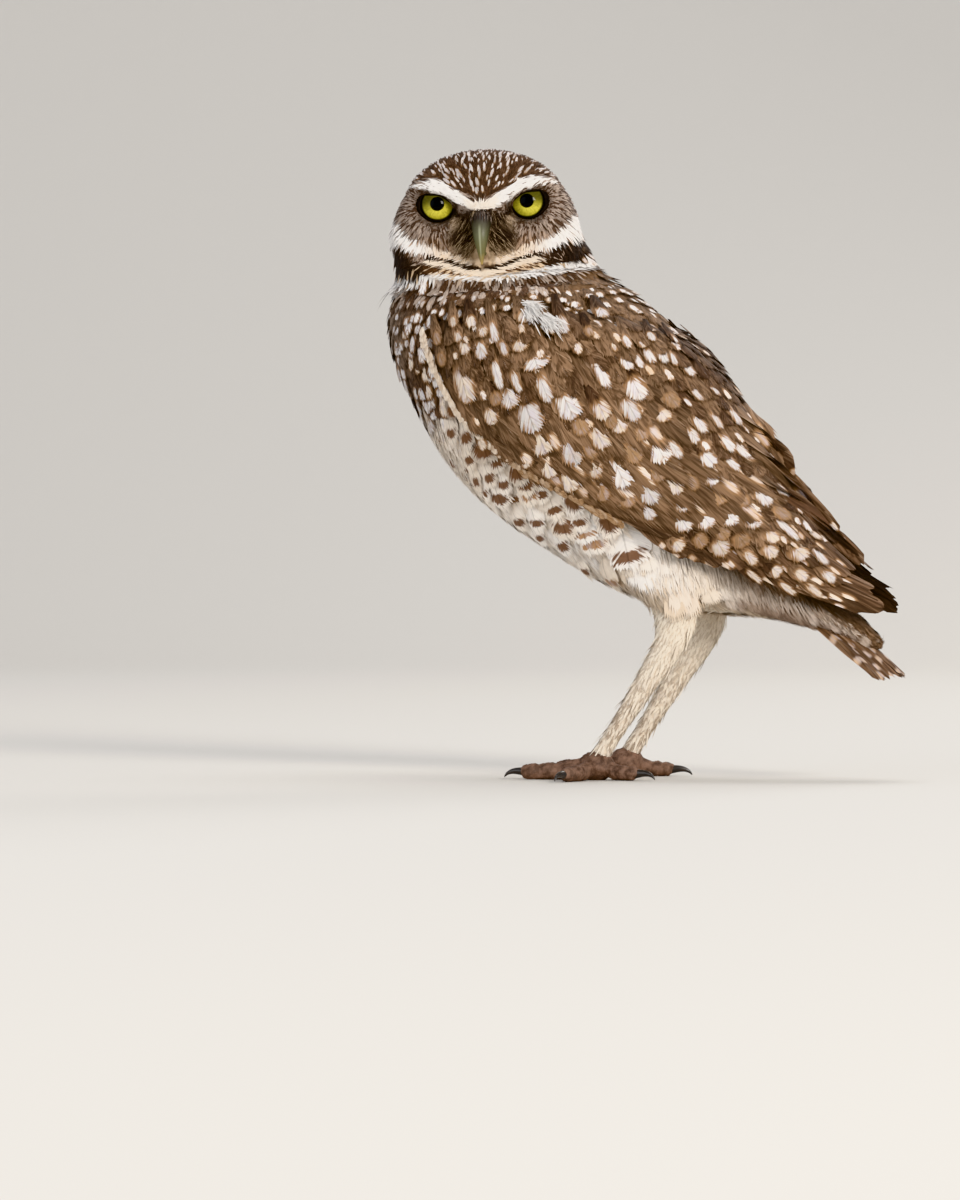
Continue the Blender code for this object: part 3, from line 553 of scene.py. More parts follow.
def legPath(side):
    # hip to toes: centre line and radii across, fore and aft
    y, hip = side * legForm["spread"], side * (legForm["spread"] - 3)
    ankle, foot = legForm["ankle"], legForm["foot"]
    path = [(26, hip, 92), (28, hip, 82), (30, hip, 72), (31, y, 64.5), (31.4, y, 58), (31.5, y, 52)]
    radii = [(9, 16), (12.5, 24), (13, 26), (10, 16.5), (6.8, 10.5), (5.3, 7.8)]
    top, low = np.array((ankle[0] - 2.5, y, ankle[1] - 4.5)), np.array((foot[0], y, foot[1]))
    path.append(tuple(top))
    radii.append((4.4, 6.0))
    for share, wide, deep in ((0.25, 3.8, 5.0), (0.5, 3.5, 4.2), (0.75, 3.3, 3.7), (0.95, 3.5, 3.8),
                              (1.05, 3.6, 3.8)):
        path.append(tuple(top + (low - top) * share))
        radii.append((wide, deep))
    return np.array(path, float), np.array(radii, float)


def eyeOutline(turn):
    # the open eye's edge round its centre, x away from the bill
    x, z = eyeLook["opening"] * np.cos(turn), eyeLook["opening"] * np.sin(turn)
    upper = 3.2 + 0.1 * x - 0.24 * np.maximum(0, -x - 0.5) ** 1.5
    return np.stack([x, np.where(z > 0, np.minimum(z, upper), z * eyeLook["lower"])], -1)


def eyeGap(x, z):
    # distance of face points from the open eye's edge, negative inside it
    outline = eyeOutline(np.linspace(0, 2 * math.pi, 48, endpoint=False))
    return -depthInside(abs(x) - eyeSpot[0], z - eyeSpot[2], outline)


# the ruff fills the hollow between head and shoulders: height, half width, back reach, centre x, centre y
ruffForm = np.array([(5, 30.0, 25.0, 0.2, 1.0), (-2, 32.0, 25.5, 0.8, 1.8), (-8, 33.6, 26.0, 2.0, 3.0),
                     (-13, 35.2, 26.0, 3.2, 4.0), (-18, 36.2, 26.5, 4.4, 5.0), (-24, 36.5, 27.0, 5.6, 6.0)])


def skinForms():
    # overlapping closed shapes for trunk, wing pads, skull, ruff, nape and legs
    turn = np.linspace(0, 2 * math.pi, 72, endpoint=False)
    trunk = [onBody(trunkForm, np.full(72, p), turn, -skinLook["underBody"] * min(1, (15.4 - p) / 1.5))
             for p in np.arange(1.0, 15.3, 0.25)]
    pads = []
    for p in np.arange(0.6, 10.6, 0.25):
        outer = onBody(cloakForm, np.full(72, p), turn, wingDepth(p))
        grow = -5.0 + (wingDepth(p) + 5.0 - skinLook["underWing"]) * padDepth(outer)
        pads.append(onBody(cloakForm, np.full(72, p), turn, grow))
    forms = [closedForm("trunk", trunk), closedForm("wingPads", pads)]

    around = np.linspace(0, 2 * math.pi, 120, endpoint=False)
    polar, around = np.meshgrid(np.radians(np.arange(2, 179, 2.0)), around, indexing="ij")
    crown = headPoint(polar, around)
    socket = 1 - ease(0.2, 1.4, eyeGap(crown[..., 0].ravel(), crown[..., 2].ravel()).reshape(polar.shape))
    under = skinLook["underHead"] - 1.3 * ease(12, 24, crown[..., 2])
    crown *= 1 - (under / np.linalg.norm(crown, axis=-1))[..., None]
    crown[..., 1] += skinLook["socket"] * socket * (polar < 1.5)
    forms.append(closedForm("skull", fromHead(crown)))

    ruff = []
    for place in np.arange(0, 5.01, 0.5):
        high, wide, back, cx, cy = smoothRead(ruffForm, place)
        reach = np.where(np.sin(turn) > 0, back, 15.0)
        ring = [cx + (wide - 1.2) * np.cos(turn), cy + (reach - 1.2) * np.sin(turn), 0 * turn + high]
        ruff.append(fromHead(np.stack(ring, -1)))
    forms.append(closedForm("ruff", ruff))

    top = np.stack([31.0 * np.cos(turn - math.radians(14)), 3.0 + 23.0 * np.sin(turn - math.radians(14)),
                    0 * turn], -1)
    spin = np.array(Matrix.Rotation(math.radians(head["turn"]), 3, "Z"))
    nape = []
    for t in np.linspace(0, 1.12, 10):
        ring = onBody(trunkForm, np.full(72, 2.2 - 1.1 * t), turn, -1.6)
        flat = top @ spin.T * 0.97 + (headAt[0], headAt[1], head["cut"] + 1.0 + 26 * max(0, t - 1))
        nape.append(ring + (flat - ring) * min(1, t) ** 2.2)
    forms.append(closedForm("nape", nape))

    for side in (leftSide, rightSide):
        path, radii = legPath(side)
        depth = np.where(path[:, 2] > 53, skinLook["underThigh"], skinLook["underShank"])
        forms.append(closedForm("leg", tubeRings(path, radii - depth[:, None], 20, (0, 1, 0), 3)))
    return forms


def makeSkin():
    skin = joined(skinForms())
    skin.name = skin.data.name = "skin"
    applied(skin, "REMESH", mode="VOXEL", voxel_size=skinLook["voxel"] * mm)
    applied(skin, "SMOOTH", factor=0.5, iterations=skinLook["smoothing"])
    smoothFaces(skin.data)
    return asPiece(skin)


class Surface:
    # the skin as a thing to set roots on, in plan millimetres
    def __init__(self, made):
        mesh = made.data
        mesh.calc_loop_triangles()
        self.points, self.normals = planPoints(mesh), vertexRows(mesh, "normal")
        self.tris = np.empty(len(mesh.loop_triangles) * 3, np.int32)
        mesh.loop_triangles.foreach_get("vertices", self.tris)
        self.tris = self.tris.reshape(-1, 3)
        self.tree = BVHTree.FromPolygons(self.points.tolist(), self.tris.tolist())

    def nearest(self, points):
        # the skin's closest points and its smooth normals there
        found, index = np.empty((len(points), 3)), np.empty(len(points), int)
        for k, point in enumerate(points.tolist()):
            spot, _, face, _ = self.tree.find_nearest(point)
            found[k], index[k] = spot, face
        return found, self.smoothNormal(found, index)

    def smoothNormal(self, points, index):
        a, b, c = (self.points[self.tris[index, k]] for k in range(3))
        weights = np.stack([np.linalg.norm(np.cross(p - points, q - points), axis=1)
                            for p, q in ((b, c), (c, a), (a, b))], 1)
        weights /= weights.sum(1, keepdims=True) + 1e-12
        return unit(sum(self.normals[self.tris[index, k]] * weights[:, k:k + 1] for k in range(3)))

    def scatter(self, count, draw):
        # random points, evenly over the skin's area
        a, b, c = (self.points[self.tris[:, k]] for k in range(3))
        area = np.linalg.norm(np.cross(b - a, c - a), axis=1)
        index = np.searchsorted(np.cumsum(area) / area.sum(), draw.random(count))
        r, s = np.sqrt(draw.random(count))[:, None], draw.random(count)[:, None]
        points = a[index] * (1 - r) + b[index] * r * (1 - s) + c[index] * r * s
        return points, self.smoothNormal(points, index)


def thinOut(points, gaps):
    # the points, in their order, that stand at least their own gap from those already kept
    size = float(gaps.max())
    cells, kept = {}, []
    cell = np.floor(points / size).astype(int).tolist()
    around = [(i, j, k) for i in (-1, 0, 1) for j in (-1, 0, 1) for k in (-1, 0, 1)]
    for n, ((cx, cy, cz), (x, y, z), room) in enumerate(zip(cell, points.tolist(), (gaps ** 2).tolist())):
        near = (spot for i, j, k in around for spot in cells.get((cx + i, cy + j, cz + k), ()))
        if all((px - x) ** 2 + (py - y) ** 2 + (pz - z) ** 2 >= room for px, py, pz in near):
            cells.setdefault((cx, cy, cz), []).append((x, y, z))
            kept.append(n)
    return np.array(kept, int)


# feather shapes: across -1 to 1, along 0 to 1, height in half widths, triangles
def vaneShape(rows, columns, tipRound, narrow, cup):
    t, s = np.meshgrid(rows, columns, indexing="ij")
    wide = np.minimum(1, narrow + (1 - narrow) * 1.7 * t) * (1 - 0.45 * ease(0.72, 1.0, t))
    along = t - tipRound * s * s * ease(0.5, 1.0, t)
    height = -cup * s * s * wide + 0.05 * (abs(s) < 0.1)
    quads = gridFaces(len(rows), len(columns), closed=False)
    tris = np.vstack([quads[:, [0, 1, 2]], quads[:, [0, 2, 3]]])
    return np.stack([(s * wide).ravel(), along.ravel(), height.ravel()], -1), tris


def strandShape(strands, cup):
    # loose barbs: each a thin blade of three triangles from (s0, t0) to (s1, t1)
    points, tris = [], []
    for s0, t0, s1, t1, thick in strands:
        run = np.array((s1 - s0, (t1 - t0) * 2.0))
        side = np.array((-run[1], run[0] / 2.0)) / np.hypot(*run) * thick
        a = len(points)
        for share, wide in ((0.0, 0.8), (0.55, 1.0)):
            s, t = s0 + (s1 - s0) * share, t0 + (t1 - t0) * share
            for sign in (-1, 1):
                points.append((s + sign * side[0] * wide, t + sign * side[1] * wide * 0.5,
                               0.03 - cup * s * s))
        points.append((s1, t1, -cup * s1 * s1))
        tris += [(a, a + 1, a + 3), (a, a + 3, a + 2), (a + 2, a + 3, a + 4)]
    return np.array(points), np.array(tris)


def joinShapes(*shapes):
    points, tris, first = [], [], 0
    for p, t in shapes:
        points.append(p)
        tris.append(t + first)
        first += len(p)
    return np.vstack(points), np.vstack(tris)


def combStrands(count, reach, base, thick):
    strands = []
    for k in range(count):
        s = 2 * (k + 0.5) / count - 1
        strands.append((s * 0.62, base - 0.1 * s * s, s * 1.02, min(1.0, base + reach) - 0.16 * s * s, thick))
    return strands


shapes = dict(
    flight=vaneShape([0, 0.12, 0.25, 0.38, 0.5, 0.62, 0.74, 0.84, 0.92, 0.97, 1.0],
                     [-1, -0.6, -0.2, 0, 0.2, 0.6, 1], 0.035, 0.3, 0.16),
    covert=joinShapes(vaneShape([0, 0.25, 0.45, 0.6, 0.74, 0.85, 0.94], [-1, -0.55, 0, 0.55, 1], 0.10, 0.4,
                                0.16),
                      strandShape(combStrands(13, 0.24, 0.78, 0.1), 0.16)),
    soft=joinShapes(vaneShape([0, 0.35, 0.6, 0.78, 0.9], [-1, -0.5, 0, 0.5, 1], 0.16, 0.4, 0.16),
                    strandShape(combStrands(13, 0.34, 0.7, 0.12), 0.16)),
    small=vaneShape([0, 0.35, 0.65, 0.87, 1.0], [-1, 0, 1], 0.2, 0.45, 0.2),
    fluff=joinShapes(vaneShape([0, 0.4, 0.7], [-0.8, 0, 0.8], 0.2, 0.5, 0.1),
                     strandShape(combStrands(11, 0.5, 0.5, 0.1) + combStrands(8, 0.4, 0.3, 0.1), 0.08)),
    hair=(np.array([(-1, 0, 0), (1, 0, 0), (-0.9, 0.4, 0.1), (0.9, 0.4, 0.1), (-0.55, 0.75, 0.05),
                    (0.55, 0.75, 0.05), (0, 1, 0)], float),
          np.array([(0, 1, 3), (0, 3, 2), (2, 3, 5), (2, 5, 4), (4, 5, 6)])),
)


# what a feather has where nothing is said: colours, pale edge, no spots and no bars
plainLook = dict(ground=(0.3, 0.2, 0.12), mark=(0.8, 0.75, 0.68), pale=0.0, spotA=(0.5, 3.0, 0.1, 0.1),
                 spotB=(0.5, 3.0, 0.1, 0.1), bars=(3.0, 0.6, 0.0, 0.0))


class Coat:
    # gathers feathers of several shapes into one piece
    def __init__(self, name, slot, draw):
        self.name, self.slot, self.draw = name, slot, draw
        self.batches = []

    def lay(self, shape, path, normals, width, sunk, lift, roll=0.0, ragged=0.0, part=None, **looks):
        # path and normals: three rows of points, at root, middle and tip; part picks some of the feathers
        if part is not None:
            path, normals = [rows[part] for rows in path], [rows[part] for rows in normals]
            looks = {key: value[part] for key, value in looks.items()}
        count = len(path[0])
        if not count:
            return
        form, tris = shapes[shape]
        s, t, h = (np.broadcast_to(form[:, k], (count, len(form))).copy() for k in range(3))
        if ragged:
            t += self.draw.normal(0, ragged, t.shape) * ease(0.6, 1.0, t)
        t = np.clip(t, 0, 1.06)
        weights = (1 - 3 * t + 2 * t * t, 4 * t - 4 * t * t, 2 * t * t - t)
        slopes = (-3 + 4 * t, 4 - 8 * t, 4 * t - 1)
        spine, ahead, up = (sum(w[..., None] * p[:, None] for w, p in zip(shares, rows))
                            for shares, rows in ((weights, path), (slopes, path), (weights, normals)))
        ahead, up = unit(ahead), unit(up)
        side = np.cross(ahead, up)
        width, sunk, lift, roll = (np.broadcast_to(np.asarray(value, float), (count,))[:, None]
                                   for value in (width, sunk, lift, roll))
        half = width / 2
        rise = sunk + (lift - sunk) * t ** 0.8 + h * half + roll * s * half
        points = spine + side * (s * half)[..., None] + up * rise[..., None]
        uv = np.stack([form[:, 0] * 0.5 + 0.5, form[:, 1]], -1)
        self.batches.append(dict(points=points, tris=tris, uv=uv, root=path[0], looks=looks, count=count))

    def gather(self, key, size):
        # one look of every feather, given to each of its points
        rows = []
        for batch in self.batches:
            value = np.asarray(batch["looks"].get(key, plainLook[key]), float)
            value = np.broadcast_to(value.reshape(-1, size) if value.ndim else value, (batch["count"], size))
            rows.append(np.repeat(value, batch["points"].shape[1], axis=0))
        return np.vstack(rows)

    def build(self, material):
        total = sum(b["count"] for b in self.batches)
        unwrapped = skinMap(np.vstack([b["root"] for b in self.batches]))
        low, high = unwrapped.min(0), unwrapped.max(0)
        unwrapped = 0.03 + 0.94 * (unwrapped - low) / (high - low).max()
        size = min(0.02, max(0.003, 0.3 / math.sqrt(total)))  # a feather's patch of the baking map
        points, tris, vane, patch, first, seen = [], [], [], [], 0, 0
        for batch in self.batches:
            n, m = batch["points"].shape[:2]
            points.append(batch["points"].reshape(-1, 3))
            tris.append((batch["tris"][None] + (np.arange(n) * m)[:, None, None]).reshape(-1, 3) + first)
            vane.append(np.tile(batch["uv"], (n, 1)))
            patch.append((unwrapped[seen:seen + n, None] + (batch["uv"][None] - 0.5) * size).reshape(-1, 2))
            first += n * m
            seen += n
        made = newMesh(self.name, np.vstack(points), np.vstack(tris), material, self.slot)
        cornerMap(made.data, "OFBake", np.vstack(patch))
        cornerMap(made.data, "vane", np.vstack(vane))
        seeds = [np.repeat(self.draw.random(b["count"]), b["points"].shape[1]) for b in self.batches]
        pointColors(made.data, "ground", np.column_stack([self.gather("ground", 3), np.concatenate(seeds)]))
        pointColors(made.data, "mark", np.column_stack([self.gather("mark", 3), self.gather("pale", 1)]))
        for name in ("spotA", "spotB", "bars"):
            pointColors(made.data, name, self.gather(name, 4))
        print(self.name, total, "feathers", len(made.data.polygons), "triangles")


def skinMap(points):
    # unwraps the skin: the body rolled out from its back, the head opened round the bill, the legs beside
    place, angle = bodyZones(points)
    flat = np.stack([angle / math.pi * 75, place * 14], -1)
    q = toHead(points)
    polar = np.arccos(np.clip(-unit(q)[:, 1], -1, 1))
    around = np.arctan2(q[:, 2], q[:, 0])
    disc = np.stack([np.cos(around), np.sin(around)], -1) * (polar * 30)[:, None] + (170, 40)
    flat = np.where((q[:, 2] > -17)[:, None], disc, flat)
    onLeg = (points[:, 2] < 62) & (abs(points[:, 1]) > 6) & (points[:, 0] < 52)
    y = np.where(points[:, 1] < 0, -1, 1)
    roll = np.arctan2(points[:, 1] - y * legForm["spread"], points[:, 0] - 20)
    strip = np.stack([170 + y * 40 + roll * 10, 130 + points[:, 2]], -1)
    return np.where(onLeg[:, None], strip, flat)


def follow(surface, roots, normals, ways, lengths, stiff=0.3):
    # root, middle and tip of feathers that lie along the skin; stiff keeps them off its hollows
    path, ups = [roots], [normals]
    for share in (0.5, 1.0):
        straight = roots + ways * (lengths * share)[:, None]
        spots, n = surface.nearest(straight)
        path.append(spots + n * np.maximum(dot(straight - spots, n), 0) * stiff)
        ups.append(n)
    return path, ups


def tangent(ways, normals):
    return unit(ways - normals * dot(ways, normals))


def wobble(points, size, seed):
    # smooth noise between -1 and 1 over points, from seven waves
    draw = np.random.default_rng(seed)
    total = 0
    for k in range(7):
        way = draw.normal(size=points.shape[-1])
        wave = way / np.linalg.norm(way) * 6.28 / size * draw.uniform(0.6, 1.5)
        total = total + np.sin(points @ wave + draw.uniform(0, 6.28))
    return total / 3.5


def paint(base, color, share):
    return base + (np.asarray(color) - base) * np.clip(share, 0, 1)[:, None]


# bands painted on the head: a broken line of x and z, and half widths along it
headBands = dict(
    lid=([(4.0, 4.0), (9.0, 7.0), (9.8, 9.0)], [1.0, 0.9, 0.5]),
    brow=([(0, 8.8), (3.5, 9.8), (7, 12.2), (12, 15.6), (17, 17.1), (23.5, 17.0)],
          [1.25, 1.5, 1.8, 1.9, 1.7, 0.8]),
    strapLeft=([(-30, -8.4), (-25.8, -10.6), (-20, -11.2), (-14, -11.8), (0, -14)],
               [4.4, 3.8, 1.9, 0.6, 0.4]),
    strapRight=([(32, -4), (28, -6.6), (21, -9.2), (14, -11.0), (0, -14)], [4.2, 3.6, 2.2, 0.6, 0.4]),
    throat=([(-34, -17.0), (-20.4, -14.2), (-13.7, -13.8), (0, -15.4), (13, -14.3), (24.8, -12.3),
             (37, -10.5)],
            [2.3, 1.7, 1.3, 0.9, 1.2, 1.6, 2.2]),
    chin=([(0, -13.4), (6, -12.0), (12, -9.9), (19, -8.4)], [1.0, 1.1, 1.0, 0.7]),
    cheek=([(31.5, 3.5), (28.5, -0.8), (23, -3.2), (17, -4.9), (10, -7.0), (4.5, -9.2)],
           [2.7, 2.3, 1.9, 1.6, 1.3, 0.9]),
    gape=([(19, -6.9), (14, -7.6), (9, -9.4), (4, -11.1), (0, -11.8)], [0.4, 0.5, 0.5, 0.5, 0.5]))


def band(x, z, name):
    # 1 on a band of the head, falling to 0 at its edges
    line, widths = headBands[name]
    gap, along = lineGap(x, z, np.asarray(line, float))
    wide = np.interp(along, np.linspace(0, 1, len(widths)), widths)
    return 1 - ease(0.75, 1.25, gap / wide)


plumage = dict(
    brown=tint(126, 100, 78), darkBrown=tint(82, 61, 47), crown=tint(80, 59, 45), white=tint(248, 243, 238),
    cream=tint(244, 228, 208), buff=tint(222, 194, 160), tawny=tint(172, 130, 90), bar=tint(116, 82, 58),
    disc=tint(178, 160, 146), discDark=tint(88, 68, 56), soot=tint(46, 34, 27), flight=tint(108, 84, 66),
    under=tint(172, 148, 130), tan=tint(172, 138, 104), smoke=tint(158, 138, 120))


def browTop(wide):
    return np.interp(wide, [0, 7, 12, 17, 23.5, 32], [11.0, 14.4, 17.9, 19.3, 18.8, 15.5])


def headColors(q, draw):
    # ground colours of the head's feathers at points of its own frame
    x, y, z = q.T
    wide, front = abs(x), (y < -4).astype(float)
    luck = draw.random(len(q))
    row = luck[:, None]
    soot, white, buff = plumage["soot"], plumage["white"], plumage["buff"]

    toEye = np.hypot(wide - eyeSpot[0], z - eyeSpot[2])
    disc = (1 - ease(17.5, 20.5, np.hypot(wide - 11.5, z - 4.0))) * (y < -3)
    disc = disc * (1 - ease(-0.5, 0.8, z - browTop(wide)))
    discColor = np.where(row < 0.42, plumage["discDark"] * (0.8 + row), plumage["disc"] * (0.45 + 0.6 * row))
    color = plumage["crown"] * (0.7 + 0.6 * row)
    color = color * (1 - disc[:, None]) + discColor * disc[:, None]
    color = paint(color, plumage["tawny"] * 1.2, disc * bump(z + 3.5, 3.0) * 0.5 * luck)
    color = paint(color, plumage["discDark"] * 0.7, bump(toEye - 6.6, 1.4) * 0.6 * front)
    lores = (1 - ease(8.5, 12.5, wide)) * ease(-12, -8, z) * (1 - ease(4.5, 7.5, z)) * front
    color = paint(color, buff * 0.7, lores * (0.4 + 0.6 * luck))
    dark = bump(np.hypot((wide - 6.4) / 4.4, (z + 0.9) / 3.3), 1.0)
    color = paint(color, soot, dark * 1.7 * front)
    color = paint(color, soot * 1.2, bump(np.hypot(wide - 4.4, z - 4.8), 2.6) * 1.5 * front)
    color = paint(color, soot, band(wide, z, "lid") * front)

    brow = band(wide, z + 0.7 * wobble(q, 3.5, 8), "brow")
    color = paint(color, white * (0.86 + 0.14 * row),
                  brow * 1.1 * (y < -2) * (luck < 0.97 - 0.35 * ease(15, 23, wide)))
    color = paint(color, plumage["cream"], (1 - ease(3, 7, wide)) * brow * 0.6 * front)

    throatX, throatZ = np.transpose(headBands["throat"][0])
    low = (1 - ease(-1.6, 0.4, z - np.interp(x, throatX, throatZ) + 0.7 * wobble(q, 6, 2))) * front
    pale = 0.5 + 0.5 * wobble(q, 4.5, 12)
    mottled = np.where(row < 0.25 + 0.35 * pale[:, None], plumage["disc"] * (0.8 + 0.5 * row),
                       plumage["darkBrown"] * (0.8 + 0.6 * row))
    color = paint(color, buff, (1 - ease(-11.0, -8.5, z)) * front * 0.8 * (luck > 0.3))
    color = color * (1 - low[:, None]) + mottled * low[:, None]
    throat = band(x, z, "throat") * 1.1 * (y < 2)
    color = paint(color, white * 0.88, throat * (luck < 0.9 - 0.4 * (1 - ease(6, 16, wide))))

    strap = np.where(x < 0, band(x, z, "strapLeft"), band(x, z, "strapRight")) * 1.1 * (y < 4)
    strapColor = paint(soot * 1.1, plumage["bar"], (1 - ease(15, 23, wide)) * 0.7)
    color = paint(color, strapColor, strap * (luck < 0.93 - 0.4 * (1 - ease(14, 22, wide))))
    color = paint(color, plumage["cream"], band(wide, z, "chin") * 0.85 * front)
    cheekColor = paint(white, buff, (1 - ease(12, 24, wide)) * (0.45 + 0.5 * luck))
    color = paint(color, cheekColor, band(wide, z, "cheek") * 1.1 * (y < 0) * (luck < 0.94))
    return paint(color, soot, band(wide, z, "gape") * 1.1 * front)


def bodyZones(points):
    # how far along the body points lie, and their angle round it, 0 at the back
    place = bodyPlace(trunkForm, points)
    centre, up, deep, wide = bodySection(trunkForm, place)
    return place, np.arctan2(points[:, 1] / wide, dot(points - centre, up)[:, 0] / deep)


def bodyColors(points, draw):
    # ground and mark colours, which feathers have a mark and which are on the pale belly
    luck = draw.random(len(points))
    row = luck[:, None]
    place, angle = bodyZones(points)
    angle = abs(angle)
    below = ease(1.15, 2.1, angle)
    down = place + 0.45 * wobble(points, 22, 4)
    breast = below * (1 - ease(3.0, 4.4, down))
    belly = below * ease(3.0, 4.4, down)
    wingGap = outlineGap(points[:, 0], points[:, 2], wingOutline)
    hem = (1 - ease(59, 68, points[:, 2])) * (1 - ease(40, 50, points[:, 0]))
    collar = breast * ease(2.2, 2.7, angle) * (1 - ease(1.8, 2.8, place))
    ground = plumage["brown"] * (0.65 + 0.45 * row)
    for color, share in ((plumage["darkBrown"] * 1.1, breast * 0.8),
                         (plumage["smoke"] * (0.8 + 0.3 * row), collar * 0.7),
                         (plumage["cream"] * (0.93 + 0.1 * row), belly * 1.3),
                         (plumage["white"], belly * (0.35 + 0.35 * ease(5.0, 7.0, place)) * (0.3 + luck)),
                         (plumage["under"], ease(9.0, 10.2, place) * below * ease(42, 56, points[:, 0])),
                         (plumage["buff"] * 0.84, hem * 0.62),
                         (plumage["smoke"], belly * (1 - ease(3.5, 5.5, place)) * 0.2)):
        ground = paint(ground, color, share)
    shaded = belly * (1 - ease(1.5, 7.5, wingGap)) * (1 - ease(4.8, 6.4, place)) * 0.75
    ground = paint(ground, plumage["darkBrown"], shaded)
    bars = paint(plumage["bar"], plumage["tawny"], ease(5.0, 7.0, place))
    mark = np.where(belly[:, None] > 0.5, bars, plumage["white"] * 0.82)
    barred = luck < 0.28 * (1 - ease(4.8, 6.2, place)) + 0.12 * (1 - ease(6.5, 8.0, place))
    return ground, mark, np.where(belly > 0.5, barred, luck < 0.6), belly > 0.5


coatPlan = dict(candidates=420000, seed=7, lesser=3.4, scapular=4.8, mantle=4.2)


def rowsOf(count, *values):
    return np.column_stack([np.broadcast_to(np.asarray(v, float), (count,)) for v in values])


def isHead(q):
    return (q[:, 2] > -19) & (np.linalg.norm(q / (34, 29, 44), axis=1) < 1.14)


